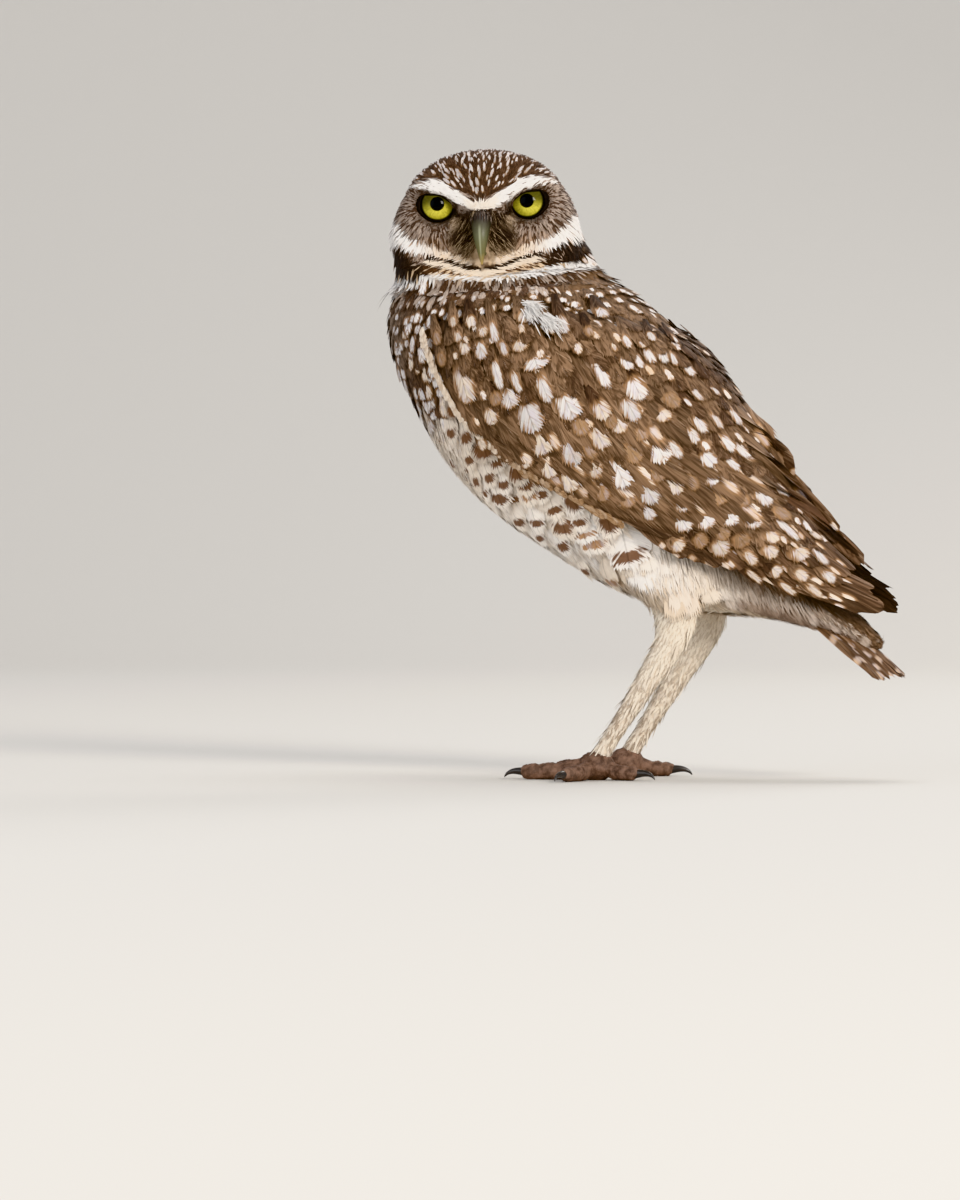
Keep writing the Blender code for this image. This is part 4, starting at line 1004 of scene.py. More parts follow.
# spots of the folded wing: x, z, width, height, tone (0 white, 1 cream, 2 tan)
wingSpots = np.array([
    (-25.1, 148.6, 2.2, 5.4, 0), (-29.4, 142.7, 3.8, 5.4, 0), (-35.4, 143.8, 3.2, 3.8, 1),
    (-21.4, 143.3, 1.7, 4.8, 0), (-15.8, 144.3, 3.8, 3.2, 1), (-40.1, 152.4, 1.9, 3.2, 1),
    (-33.6, 152.4, 2.6, 3.2, 1), (-10, 138.6, 8.1, 3, 0), (-23.4, 134.6, 2.4, 9.7, 0),
    (-35.5, 130.9, 5.4, 10.2, 1), (-16.6, 132, 2.2, 6.5, 0), (-7, 129.8, 3.8, 8.1, 0),
    (-18.9, 126.6, 5.9, 5.4, 0), (-11.6, 120.1, 7.5, 8.6, 0), (1.3, 123.9, 7.5, 8.1, 0),
    (12, 122.8, 5.4, 5.9, 1), (5.2, 117.4, 3.8, 5.4, 2), (-7.8, 112, 8.1, 6.5, 1),
    (11.7, 113.6, 5.9, 6.5, 1), (2.3, 109.3, 7, 8.6, 0), (17.9, 118, 4.3, 4.8, 1),
    (24.7, 115.3, 3.8, 3.8, 2), (22.3, 129.8, 5.9, 7, 0), (11.4, 134.6, 3.4, 9.2, 0),
    (21.3, 122.8, 4.8, 7.5, 0), (18, 102.3, 7, 8.6, 0), (22.3, 108.8, 4.8, 6.5, 2),
    (8.4, 109.9, 3.2, 5.4, 2), (31, 108.8, 6.5, 5.9, 0), (35.2, 109.9, 3, 6.5, 0),
    (27.4, 95.9, 6.5, 6.5, 0), (35.8, 98.6, 5.4, 5.4, 1), (40.8, 99.1, 3.2, 4.3, 2),
    (46.5, 100.7, 4.3, 4.3, 0), (45.2, 106.6, 4.8, 4.3, 0), (1.2, 99.6, 5.9, 6.5, 1),
    (12.2, 95.9, 4.3, 4.3, 2), (20.4, 93.7, 4.3, 4.3, 2), (27.2, 89.4, 3.8, 4.8, 0),
    (37.9, 92.6, 4.3, 5.9, 0), (38.4, 86.2, 4.8, 6.5, 0), (45.7, 86.7, 5.9, 5.4, 0),
    (52.7, 87.8, 5.9, 5.4, 0), (59.6, 86.7, 5.4, 5.4, 0), (49.3, 94.3, 5.4, 4.8, 2),
    (56, 93.2, 4.3, 4.3, 2), (60.8, 93.7, 4.8, 5.9, 0), (36.6, 78.6, 3.8, 3.2, 1),
    (50.6, 77.6, 5.4, 4.3, 1), (60, 74.3, 2.7, 4.3, 1), (65.9, 76.5, 4.3, 4.3, 1),
    (74.7, 75.4, 5.4, 4.8, 1), (80.3, 74.3, 2.4, 7, 0), (70, 83, 2.7, 8.6, 0), (76.2, 80.8, 2.7, 4.3, 1),
    (66.3, 88.3, 4.3, 5.4, 2), (63.7, 95.9, 3.2, 4.3, 0), (68.1, 70, 3.2, 2.7, 1),
    (84.2, 67.9, 3.2, 4.3, 0), (18.5, 138.4, 2.7, 4.8, 0), (21.8, 139.2, 2.4, 4.8, 0),
    (25, 140.6, 3, 4.3, 0), (27.8, 140.6, 3, 4.1, 0), (30, 139.5, 1.7, 4.3, 0), (8.5, 155.1, 3.4, 3.2, 0),
    (17.6, 145.4, 2.2, 4.3, 0), (14, 143.8, 1.3, 2.8, 1), (21.8, 144.9, 1.6, 2.4, 1),
    (23.1, 147, 2.7, 3.2, 0), (27.8, 146, 1.3, 3.2, 0), (34.1, 135.7, 3, 4.3, 0),
    (38.3, 127.6, 2.2, 4.3, 0), (37.3, 125.5, 1.3, 3.2, 0), (41.8, 118, 3, 5.2, 0),
    (44.4, 119, 1.9, 5.4, 0), (40.3, 114.2, 3, 4.8, 0), (48.1, 120.1, 3.4, 6.7, 0),
    (41.4, 128.7, 1.6, 3.2, 0), (48.7, 111.5, 3, 5.6, 0), (52.2, 108.8, 3, 5.2, 0),
    (51.6, 105, 2.4, 4.8, 0), (57, 108.3, 1.9, 3.2, 0), (33.1, 126, 4.1, 4.3, 2),
    (31.2, 121.2, 4.1, 3.7, 1), (3, 143.3, 2.2, 3.2, 1), (-15.2, 154, 4.3, 3.2, 1),
    (-2.5, 150.8, 2.8, 5.4, 0), (14.7, 119.6, 2.8, 4.3, 2), (72.9, 84, 2.2, 5.4, 0),
    (61, 68.4, 1.7, 5, 1), (71.5, 64.4, 1.7, 5.5, 1), (80, 63.6, 1.8, 4.6, 1), (57, 80, 4.5, 4, 2),
    (44, 80, 4, 3.6, 2), (-30, 112, 3, 3, 1), (-14, 106, 4, 3, 1), (-6, 103.5, 4.5, 4.5, 1),
    (10, 103.6, 4.5, 5, 1), (-26, 121, 4, 4.5, 1), (-24, 127, 3.5, 3.5, 2), (30, 102, 4, 4, 2),
    (51, 82.5, 4, 3.6, 2), (66, 81, 4, 4, 1), (76, 68.5, 3, 3.4, 1), (-46, 147, 2, 3.4, 2),
    (-38, 147.5, 2.2, 3, 1), (-44, 140, 2.4, 3.6, 2), (-29, 149, 2.4, 3, 1), (6, 149, 2.6, 3, 2)])


# bars of the flank: x, y, z, width across the feather, height, tone (0 dark, 1 brown, 2 tan)
flankBars = np.array([
    (-31.4, -29.7, 110.3, 12.6, 5.9, 0), (-20.5, -30.4, 102.4, 8.7, 5.3, 0), (-2.5, -30.2, 93, 8.5, 6.5, 1),
    (-4.5, -25.6, 84.8, 10.9, 4.8, 0), (11.9, -29.1, 86.3, 8.5, 6.5, 0), (17.5, -24.7, 75.2, 14, 4.4, 1),
    (-8.3, -19.3, 78.8, 6.2, 3.4, 0), (-2, -13.5, 70.6, 4.4, 2.9, 0), (-17.2, -16.7, 81.5, 5.1, 2.5, 0),
    (-23.4, -18.5, 86.7, 7, 2.9, 0), (-28.2, -22.7, 94.4, 10.4, 3.6, 0), (-36.5, -21.7, 99.7, 3.9, 3.6, 0),
    (-38.8, -27.6, 113.7, 5.6, 3.9, 0), (-43.2, -28.6, 123.1, 4.8, 3.6, 0), (-16.5, -28, 94.8, 8.5, 3.1, 2),
    (6.2, -25, 79.3, 8.5, 2.9, 2), (10.4, -17.3, 67.8, 8.5, 2.2, 2), (2.2, -25.9, 82.3, 9.8, 2, 2),
    (-31.6, -25, 100.7, 5.5, 3, 0), (-25.7, -28, 98.2, 5, 3, 0), (-38.6, -24, 106.6, 5, 3, 0),
    (-17.4, -31, 97.8, 7, 3.2, 1), (-44.1, -25, 115.8, 5, 3.4, 0), (-27.6, -29, 105.8, 6, 3.2, 0),
    (-34.8, -20, 95.9, 4, 2.2, 0), (-12.3, -31, 94.8, 6, 2.6, 1), (-8.4, -28, 90.0, 7, 2.4, 1),
    (-14.6, -23, 86.7, 6, 2.4, 1), (1.2, -28, 86.2, 6, 2.6, 1), (2.9, -24, 78.6, 6, 2.2, 2)])

# spots of the breast, in the same order (0 white, 1 cream, 2 smoke)
breastSpots = np.array([
    (-54.7, -27, 142.1, 3.6, 6.1, 0), (-51.3, -28.6, 141, 3.4, 5.6, 0), (-54.1, -25.9, 134.8, 3.6, 5.6, 1),
    (-61.9, -23.1, 150, 3.6, 5.1, 1), (-46.9, -27, 124.1, 5.6, 7, 1), (-40.1, -25.5, 110.1, 8.5, 5.6, 1),
    (-53.8, -24.3, 128.9, 3.4, 4.8, 1), (-57.4, -24.4, 137.6, 2.5, 4.2, 1), (-56.9, -33, 161.6, 2.8, 6.3, 0),
    (-51.9, -33, 158.3, 3.3, 5.3, 0), (-1.9, -27, 165.3, 1.7, 3.1, 0), (-3.8, -27, 157.8, 2.8, 1.7, 0),
    (6.7, -27, 161, 2, 3.1, 0), (12.1, -27, 158.9, 2.3, 2.1, 0), (-9.4, -27, 162.4, 2.8, 2.3, 1),
    (1.6, -27, 161, 2.5, 1.9, 1),
    (-61, -24, 152, 3.4, 6, 0), (-58.5, -26, 145.5, 2.4, 5.4, 0), (-60, -22, 139, 3, 4.5, 1),
    (-48, -29, 134.5, 3, 4.6, 0), (-49.5, -27, 117, 4.2, 4.4, 0), (-45, -25.5, 113, 4, 4, 1),
    (-59.5, -30, 157.5, 2.6, 3.6, 0), (-47, -33, 161, 1.8, 2.6, 0), (-40, -34, 160.5, 1.8, 2.8, 0),
    (-34, -34, 159.5, 1.8, 2.6, 1), (-28, -33.5, 160.5, 2, 2.6, 1), (-43.5, -33.5, 157.2, 2, 2.4, 1),
    (-20, -32, 161, 2, 2.4, 1)])


def spotTone(tone, tones):
    return np.array([plumage[name] for name in tones])[tone.astype(int)]


def wingPath(rows, side):
    # feathers over the folded wing, from side views of their roots, middles and tips
    found = [wingSpot(spots[:, 0], spots[:, 1], 0.0, side) for spots in rows]
    return [spot for spot, _ in found], [up for _, up in found]


def laySpots(coat, side, draw):
    # a feather for each of the wing's spots, with the spot near its tip
    x, z, wide, tall, tone = wingSpots.T
    count = len(x)
    if side == rightSide:
        x, z = x + draw.normal(0, 1.2, count), z - abs(draw.normal(0, 1.2, count))
    slope = np.radians(np.interp(x, [-60, -20, 20, 50, 90], [-72, -67, -62, -54, -44]))
    slope = slope + draw.normal(0, 0.05, count)
    slope = slope + np.radians(10) * (z < 84 - 0.2 * x)  # flatter along the lower edge
    ahead = np.stack([np.cos(slope), np.sin(slope)], -1)
    wide, tall = wide * draw.uniform(0.95, 1.15, count), tall * draw.uniform(0.95, 1.15, count)
    lengths = np.clip(tall * 2.2 + 3.5, 8, 20)
    width = np.clip(wide * 1.25 + 1.6, 4.2, 11)
    beyond = tall * 0.5 + 0.9
    tips = np.stack([x, z], -1) + ahead * beyond[:, None]
    path, ups = wingPath([tips - ahead * (lengths * share)[:, None] for share in (1.0, 0.5, 0.0)], side)
    luck = draw.uniform(0.75, 1.15, count)[:, None]
    dark = (draw.random(count) < 0.35)[:, None]
    ground = np.where(dark, plumage["darkBrown"], plumage["brown"]) * luck
    mark = spotTone(tone, ("white", "cream", "tan")) * draw.uniform(0.54, 0.78, count)[:, None]
    spotA = rowsOf(count, 0.5, 1 - beyond / lengths, wide * 0.52 / width, tall * 0.52 / lengths)
    pale = np.zeros(count)
    for part, shape in ((width < 6, "soft"), (width >= 6, "covert")):
        lift = 1.3 + draw.normal(0, 0.08, part.sum())
        pale[part] = draw.uniform(0.1, 0.5, part.sum())
        coat.lay(shape, path, ups, width[part], -1.0, lift, roll=-side * 0.05, ragged=0.016, part=part,
                 ground=ground, mark=mark, pale=pale, spotA=spotA)


def layMarks(surface, coat, marks, tones, draw, length, reach, lift):
    # feathers that carry the larger bars and spots of flank and breast, on both sides
    for side, marks in ((leftSide, marks), (rightSide, marks[marks[:, 2] < 150])):
        spots = marks[:, :3] * (1, -side, 1)
        if side == rightSide:
            spots = spots + draw.normal(0, 1.2, spots.shape)
        count = len(spots)
        ways = rearward(bodySection(trunkForm, bodyZones(spots)[0])[1])
        wide, tall, tone = marks[:, 3:].T
        lengths = np.full(count, length) + tall
        beyond = tall * 0.5 + reach
        roots, n = surface.nearest(spots - ways * (lengths - beyond)[:, None])
        ways = tangent(ways + draw.normal(0, 0.04, (count, 3)), n)
        path, ups = follow(surface, roots, n, ways, lengths)
        ground = bodyColors(path[2], draw)[0]
        width = wide * 1.2 + 1.4
        spotA = rowsOf(count, 0.5, 1 - beyond / lengths, wide * 0.5 / width, tall * 0.5 / lengths)
        coat.lay("soft", path, ups, width, -0.4, lift + draw.normal(0, 0.1, count), ragged=0.02,
                 ground=ground, mark=spotTone(tone, tones), spotA=spotA)


# feathers of the body by zone: gap between roots, length and width
bodyFeathers = dict(trunk=(3.8, 14.0, 8.6), vent=(2.3, 11.0, 4.2), thigh=(1.7, 7.5, 2.8),
                    shank=(0.72, 3.2, 0.75), silk=(0.84, 7.0, 0.6))
shankTints = dict(clean=tint(238, 226, 208), worn=tint(204, 190, 176), dark=tint(166, 146, 126))


def bodyMasks(points, place, angle):
    shank = (points[:, 2] < 60) & (points[:, 0] < 50) & (abs(points[:, 1]) > 5)
    thigh = ~shank & (points[:, 2] < 90) & (abs(abs(points[:, 1]) - 16) < 14) & (angle > 1.9)
    thigh &= (points[:, 0] > 2) & (points[:, 0] < 55)
    trunk = ~(shank | thigh | isHead(toHead(points)) | underWing(points))
    trunk &= (points[:, 2] > 68) | (points[:, 0] > 46)
    vent = trunk & (place > 9.0)
    trunk &= ~vent
    silk = trunk & (place > 3.6) & (angle > 1.3)
    return dict(trunk=trunk, vent=vent, thigh=thigh, shank=shank, silk=silk | thigh | vent)


def bodyWays(name, place, turn):
    # lie of the feathers: rearward on the trunk, sagging under it, and down on the legs
    if name in ("thigh", "shank"):
        return np.tile((0.45, 0, -1.0) if name == "thigh" else (-0.45, 0, -0.85), (len(place), 1))
    late = ease(6.0, 8.0, place)[:, None] * ease(1.8, 2.6, turn)[:, None]
    ways = rearward(bodySection(trunkForm, place)[1])
    return ways * (1 - 0.35 * late) + np.array((0.6, 0, -0.35)) * 0.35 * late


def layBody(surface, pool, plumes, legs, draw):
    # breast, belly, flank and leg feathers over the skin
    points, normals = pool
    place, angle = bodyZones(points)
    angle = abs(angle)
    masks = bodyMasks(points, place, angle)
    cream, white, buff = plumage["cream"], plumage["white"], plumage["buff"]
    for name, (gap, length, width) in bodyFeathers.items():
        mask = masks[name]
        p, n, where = points[mask], normals[mask], place[mask]
        small = 1 - 0.45 * (1 - ease(0.0, 2.4, where)) if name == "trunk" else np.ones(len(p))
        kept = thinOut(p, gap * small)
        p, n, where, turn, small = p[kept], n[kept], where[kept], angle[mask][kept], small[kept]
        count = len(p)
        fan = draw.normal(0, 0.1 if name != "shank" else 0.17, (count, 3))
        ways = tangent(bodyWays(name, where, turn) + fan, n)
        lengths = length * small * draw.uniform(0.8, 1.2, count)
        stray = (name == "shank") * (draw.random(count) < 0.04)  # a few longer hairs
        lengths = lengths * (1 + 0.9 * stray)
        if name == "thigh":
            lengths = lengths * (1 + 0.5 * ease(36, 50, p[:, 0]))
        path, ups = follow(surface, p, n, ways, lengths)
        ground, mark, marked, pale = bodyColors(path[1], draw)
        if name == "trunk":
            streaky = 1 - ease(1.5, 2.6, where)
            spotA = rowsOf(count, 0.5 + draw.normal(0, 0.05, count),
                           np.where(pale, 0.78, 0.84) + draw.normal(0, 0.03, count),
                           np.where(marked, np.where(pale, 0.42, 0.27 - 0.08 * streaky), 0.001),
                           np.where(pale, 0.11, 0.17 - 0.04 * streaky))
            loose = (where > 5.0) & (turn > 1.4)
            for part, shape, lift in ((~loose, "soft", 0.7), (loose, "fluff", 1.0)):
                lift = lift * draw.uniform(0.7, 1.3, part.sum())
                plumes.lay(shape, path, ups, (width * small)[part], -0.5, lift,
                           roll=draw.normal(0, 0.06, part.sum()), ragged=0.02, part=part, ground=ground,
                           mark=mark, spotA=spotA)
        elif name == "silk":
            onThigh = masks["thigh"][mask][kept]
            hanging = tangent(np.array((0.55, 0, -1.0)) + draw.normal(0, 0.12, (count, 3)), n)
            ways = np.where(onThigh[:, None], hanging, ways)
            path, ups = follow(surface, p, n, ways, lengths * (1 + 0.35 * onThigh * ease(30, 50, p[:, 0])))
            bars = np.vstack([flankBars[:, :3], flankBars[:, :3] * (1, -1, 1)])
            near = np.linalg.norm(path[1][:, None] - bars[None], axis=-1) / np.tile(flankBars[:, 3], 2)[None]
            shown = np.min(near, axis=1) > 0.8  # hair keeps off the bars
            silky = paint(cream * 0.94, white * 0.94, draw.random(count) * 0.7)
            color = np.where(onThigh[:, None], silky, ground)
            color = paint(color, buff * 0.96, onThigh * (1 - ease(58, 80, p[:, 2])) * 0.62)
            color = color * (1 - 0.16 * onThigh * (1 - ease(60, 71, p[:, 2])))[:, None]
            for coat, part in ((legs, onThigh & shown), (plumes, ~onThigh & shown)):
                coat.lay("hair", path, ups, width, 0.1, draw.uniform(0.9, 1.7, part.sum()), ragged=0.03,
                         part=part, ground=color)
        elif name == "vent":
            plumes.lay("fluff", path, ups, width, -0.4, draw.uniform(0.5, 1.3, count), ragged=0.03,
                       ground=ground)
        elif name == "thigh":
            color = paint(cream * 0.92, white * 0.92, draw.random(count) * 0.4)
            color = paint(color, buff, (1 - ease(60, 80, p[:, 2])) * 0.5)
            high = p[:, 2] > 67
            legs.lay("fluff", path, ups, width, -0.4, draw.uniform(0.4, 0.9, high.sum()), ragged=0.03,
                     part=high, ground=color)
        else:
            luck = draw.random(count)
            worn = 1 - ease(20, 58, p[:, 2])
            patchy = 0.5 + 0.5 * wobble(p, 5.0, 6)
            color = paint(shankTints["clean"], shankTints["worn"], 0.7 * worn * patchy)
            color = paint(color, shankTints["dark"], (luck > 0.8 - 0.2 * worn) * 0.6 * (0.3 + worn))
            lift = draw.uniform(0.12, 0.5, count) + 1.1 * stray
            legs.lay("hair", path, ups, width, -0.2, lift, ragged=0.02, ground=color)


def layShingles(surface, pool, coats, draw):
    # lesser coverts, scapulars and mantle: overlapping feathers from the shoulders down the back
    points, normals = pool
    lowest = np.interp(points[:, 0], [-50, -38, -10, 20, 50, 75, 95], [134, 122, 108, 98, 90, 82, 70])
    zone = underWing(points) & (points[:, 2] > lowest) & ~isHead(toHead(points) * (1, 1, 0.98))
    p, n = points[zone], normals[zone]
    toShoulder = np.hypot(p[:, 0] + 48, p[:, 2] - 150)
    onBack = 1 - ease(8, 16, abs(p[:, 1]))
    gaps = coatPlan["lesser"] + (coatPlan["scapular"] - coatPlan["lesser"]) * ease(12, 42, toShoulder)
    gaps = gaps + (coatPlan["mantle"] - gaps) * onBack
    kept = thinOut(p, gaps)
    p, n, gaps, onBack = p[kept], n[kept], gaps[kept], onBack[kept]
    count = len(p)
    slope = np.radians(np.interp(p[:, 0], [-50, -20, 10, 60, 100], [-68, -62, -54, -46, -40]))
    slope = slope + draw.normal(0, 0.12, count)
    ways = tangent(np.stack([np.cos(slope), 0.12 * np.sign(p[:, 1]) * (n[:, 2] > 0.5), np.sin(slope)], -1), n)
    lengths = gaps * 3.0 * draw.uniform(0.88, 1.12, count)
    path, ups = follow(surface, p, n, ways, lengths, 0.15)
    depth, late = padDepth(p), padDepth(path[2])
    sunk, lift = skinLook["underWing"] * depth - 0.8 - 0.2 * depth, skinLook["underWing"] * late + 0.6
    luck, pick = draw.random(count), draw.random(count)
    ground = plumage["brown"] * (0.75 + 0.45 * luck)[:, None]
    ground = paint(ground, plumage["darkBrown"], 0.7 * onBack + 0.6 * (pick < 0.35))
    wide = gaps * 1.45
    neck = 1 - ease(146, 160, p[:, 2] + 0.2 * p[:, 0])
    sure = pick > 0.82 - 0.28 * (1 - neck) - 0.15 * onBack
    spotA = rowsOf(count, 0.5 + draw.normal(0, 0.06, count), 0.82,
                   np.where(sure, 0.95 * draw.uniform(0.7, 1.2, count) / wide, 0.001),
                   1.7 * draw.uniform(0.7, 1.2, count) / lengths)
    mark = paint(plumage["white"], plumage["buff"], 0.9 * draw.random(count))
    nearest = np.where(abs(p[:, 1]) < 5, 2, np.where(p[:, 1] < 0, 0, 1))
    for k, coat in enumerate(coats):
        for shape in ("soft", "covert"):
            part = (nearest == k) & ((gaps < 4.3) == (shape == "soft"))
            coat.lay(shape, path, ups, wide[part], sunk[part], lift[part],
                     roll=draw.normal(0, 0.06, part.sum()), ragged=0.02, part=part, ground=ground, mark=mark,
                     pale=0.2 + 0.45 * luck, spotA=spotA)


def crownWays(local):
    # lie of the feathers from the bill back over the crown and down the nape
    ways = unit(local - billBase)
    back = ease(0, 18, local[:, 1])[:, None]
    ways = ways * (1 - back) + np.array((0, 0.25, -1.0)) * back
    side = ease(20, 31, abs(local[:, 0]))[:, None]
    ways = ways * (1 - 0.6 * side) + np.array((0, 0.75, -0.6)) * 0.6 * side
    low = (1 - ease(-12, 2, local[:, 2]))[:, None]
    return ways * (1 - low) + np.array((0, 0.2, -1.0)) * low


def faceWays(local):
    # lie of the face's hairs: out from the eyes, away from the bill, up the brows and back on the cheeks
    x, _, z = local.T
    wide, outward = abs(x), np.where(x < 0, -1.0, 1.0)
    eyes = np.stack([outward * eyeSpot[0], 0 * x + eyeSpot[1], 0 * x + eyeSpot[2]], -1)
    ways = unit(local - eyes)
    lores = ((1 - ease(9.0, 12.0, wide)) * (1 - ease(5.5, 8.0, z)))[:, None]
    out = unit(np.stack([outward * (wide * 0.6 + 1.5), 0 * x, z - 9.0], -1))
    ways = ways * (1 - lores) + out * lores
    browLine = np.interp(wide, [0, 7, 12, 17, 23.5], [-0.8, 1.8, 4.8, 6.4, 6.4])
    brow = ease(9.0, 11.0, z + 2.0 - browLine)[:, None]
    along = unit(np.stack([outward * ease(0, 2, wide), 0.2 + 0 * x, 0.42 + 0.5 * (1 - ease(0, 3, wide))], -1))
    ways = ways * (1 - brow) + along * brow
    cheek = (1 - ease(-6.5, -3.5, z + 0.12 * wide - 1.5))[:, None]
    return ways * (1 - cheek) + unit(np.stack([outward, 0.1 + 0 * x, -0.35 + 0 * x], -1)) * cheek


# feathers of the head by zone: gap between roots, length and width
headFeathers = dict(face=(0.54, 3.8, 0.6), chin=(0.8, 4.6, 0.95), collar=(1.55, 6.5, 2.8),
                    crown=(1.2, 5.4, 2.2), nape=(1.7, 8.5, 3.4))


def headMasks(x, y, z):
    wide = abs(x)
    chinTop = np.interp(wide, [0, 16, 24], [-14.5, -13.0, -9.5])
    face = (y < -4) & (z < browTop(wide)) & (z > chinTop)
    collar = (y < 2) & (z < -16.0 + 0.05 * wide)
    chin = (y < 0) & (z <= chinTop) & ~collar
    rest = ~(face | chin | collar)
    nape = rest & (z < 2) & (y > -6)
    bill = (wide < 2.6) & (z < 3.6) & (z > -10.5) & (y < -10)
    face = face & (eyeGap(x, z) > 0.4) & ~bill
    return dict(face=face, chin=chin, collar=collar, crown=rest & ~nape, nape=nape)


def layHead(surface, pool, coat, draw):
    points, normals = pool
    q = toHead(points)
    onHead = isHead(q)
    points, normals, q = points[onHead], normals[onHead], q[onHead]
    masks = headMasks(*q.T)
    for name, (gap, length, width) in headFeathers.items():
        p, n, local = points[masks[name]], normals[masks[name]], q[masks[name]]
        kept = thinOut(p, np.full(len(p), gap))
        p, n, local = p[kept], n[kept], local[kept]
        count = len(p)
        x, _, z = local.T
        if name in ("crown", "nape"):
            ways = crownWays(local)
        elif name in ("chin", "collar"):
            ways = np.stack([x * 0.02, -0.1 + 0 * x, -1.0 + 0 * x], -1)
        else:
            ways = faceWays(local)
        ways = tangent(ways @ headSpin.T + draw.normal(0, 0.1, (count, 3)), n)
        lengths = length * draw.uniform(0.8, 1.2, count)
        rise = draw.uniform(0.2, 0.6, count)
        if name == "face":
            lengths = lengths * (0.5 + 0.5 * ease(0.7, 4.5, eyeGap(x, z)))
            puff = ease(24, 30, abs(x)) * bump(z + 0.5 - 3 * (x < 0), 5.0)
            lengths, rise = lengths * (1 + 0.5 * puff), rise + 1.6 * puff
        if name == "chin":
            tuft = ease(20, 30, -x) * bump(z + 15, 3.5)
            lengths, rise = lengths * (1 + 1.3 * tuft), rise + 0.2 + 5.2 * tuft
        path, ups = follow(surface, p, n, ways, lengths, 0.8 if name == "nape" else 0.3)
        ground = headColors(toHead(path[1]), draw)
        if name in ("face", "chin"):
            coat.lay("hair", path, ups, width, -0.25, rise, ragged=0.02, ground=ground)
            continue
        sure = (draw.random(count) < 0.6) & (name != "crown")
        mark = paint(plumage["white"], plumage["buff"], draw.random(count)) * 0.7
        spotA = rowsOf(count, 0.5, 0.8, np.where(sure, draw.uniform(0.14, 0.32, count), 0.001),
                       draw.uniform(0.1, 0.2, count))
        shape, taller = ("small", 1.0) if name == "crown" else ("soft", 1.6)
        coat.lay(shape, path, ups, width, -0.4, (rise + 0.2) * taller, ragged=0.04, ground=ground, mark=mark,
                 spotA=spotA)
    crown = masks["crown"]
    layStreaks(surface, points[crown], normals[crown], q[crown], coat, draw)


def layStreaks(surface, p, n, local, coat, draw):
    # white streaks of the crown, fanned out from the bill, small spots further back
    frontal = 1 - ease(-17, 4, local[:, 1])
    kept = thinOut(p, 2.35 - 0.75 * frontal)
    p, n, local, frontal = p[kept], n[kept], local[kept], frontal[kept]
    count = len(p)
    ways = tangent(crownWays(local) @ headSpin.T + draw.normal(0, 0.16, (count, 3)), n)
    path, ups = follow(surface, p, n, ways, (4.2 + 0.8 * frontal) * draw.uniform(0.8, 1.2, count))
    color = plumage["crown"] * draw.uniform(0.7, 1.2, count)[:, None]
    shown = draw.uniform(0.45, 1.2, count)
    mark = plumage["white"] * draw.uniform(0.36, 0.74, count)[:, None]
    spotA = rowsOf(count, 0.5, 0.72, (0.18 + 0.04 * frontal) * shown, (0.12 + 0.19 * frontal) * shown)
    coat.lay("small", path, ups, 2.0, -0.2, draw.uniform(0.7, 0.95, count), ragged=0.03, ground=color,
             mark=mark, spotA=spotA)


# rows of the folded wing: look, count, width, depth of the roots, lift of the tips, roots and tips
wingRows = [
    ("primary", 9, 7.5, -2.3, -1.5, [(14, 93), (30, 98)], [(90, 58.6), (101, 57.6), (98, 66)]),
    ("secondary", 13, 8.5, -1.9, -0.1, [(6, 97), (22, 108), (50, 118)],
     [(51, 72.5), (70, 67), (86, 64.5), (92, 70), (91, 78)]),
    ("secondary", 11, 8.5, -1.7, 0.3, [(10, 99), (26, 108), (50, 116)],
     [(38, 75), (60, 71), (78, 71), (85, 80)]),
    ("tertial", 4, 11, -1.5, 0.5, [(30, 112), (46, 120)], [(84, 76), (86, 88), (76, 100)]),
    ("primaryCovert", 7, 6.4, -1.6, 0.3, [(-29, 114), (-4, 102)], [(11, 92.6), (28, 84.4), (45, 77.6)]),
    ("primaryCovert", 4, 5.8, -1.4, 0.5, [(-40, 122), (-30, 116)], [(-20, 111.5), (-4, 102.8), (10, 95.4)]),
    ("greaterCovert", 13, 8.4, -1.5, 0.5, [(-24, 115), (6, 123), (36, 132)],
     [(7, 93), (31, 85), (53, 81), (72, 83), (80, 92)]),
    ("greaterCovert", 13, 8.4, -1.4, 0.8, [(-30, 119), (0, 128), (30, 138)],
     [(-6, 98), (18, 91), (44, 88), (66, 92), (76, 101)]),
    ("greaterCovert", 13, 8.2, -1.3, 1.0, [(-36, 124), (-10, 132), (24, 142)],
     [(-18, 106), (8, 99), (34, 96), (58, 102), (70, 110)]),
    ("middleCovert", 11, 8.0, -1.2, 1.1, [(-44, 134), (-18, 142), (6, 146)],
     [(-29, 115), (-6, 108), (18, 106), (40, 110)]),
]


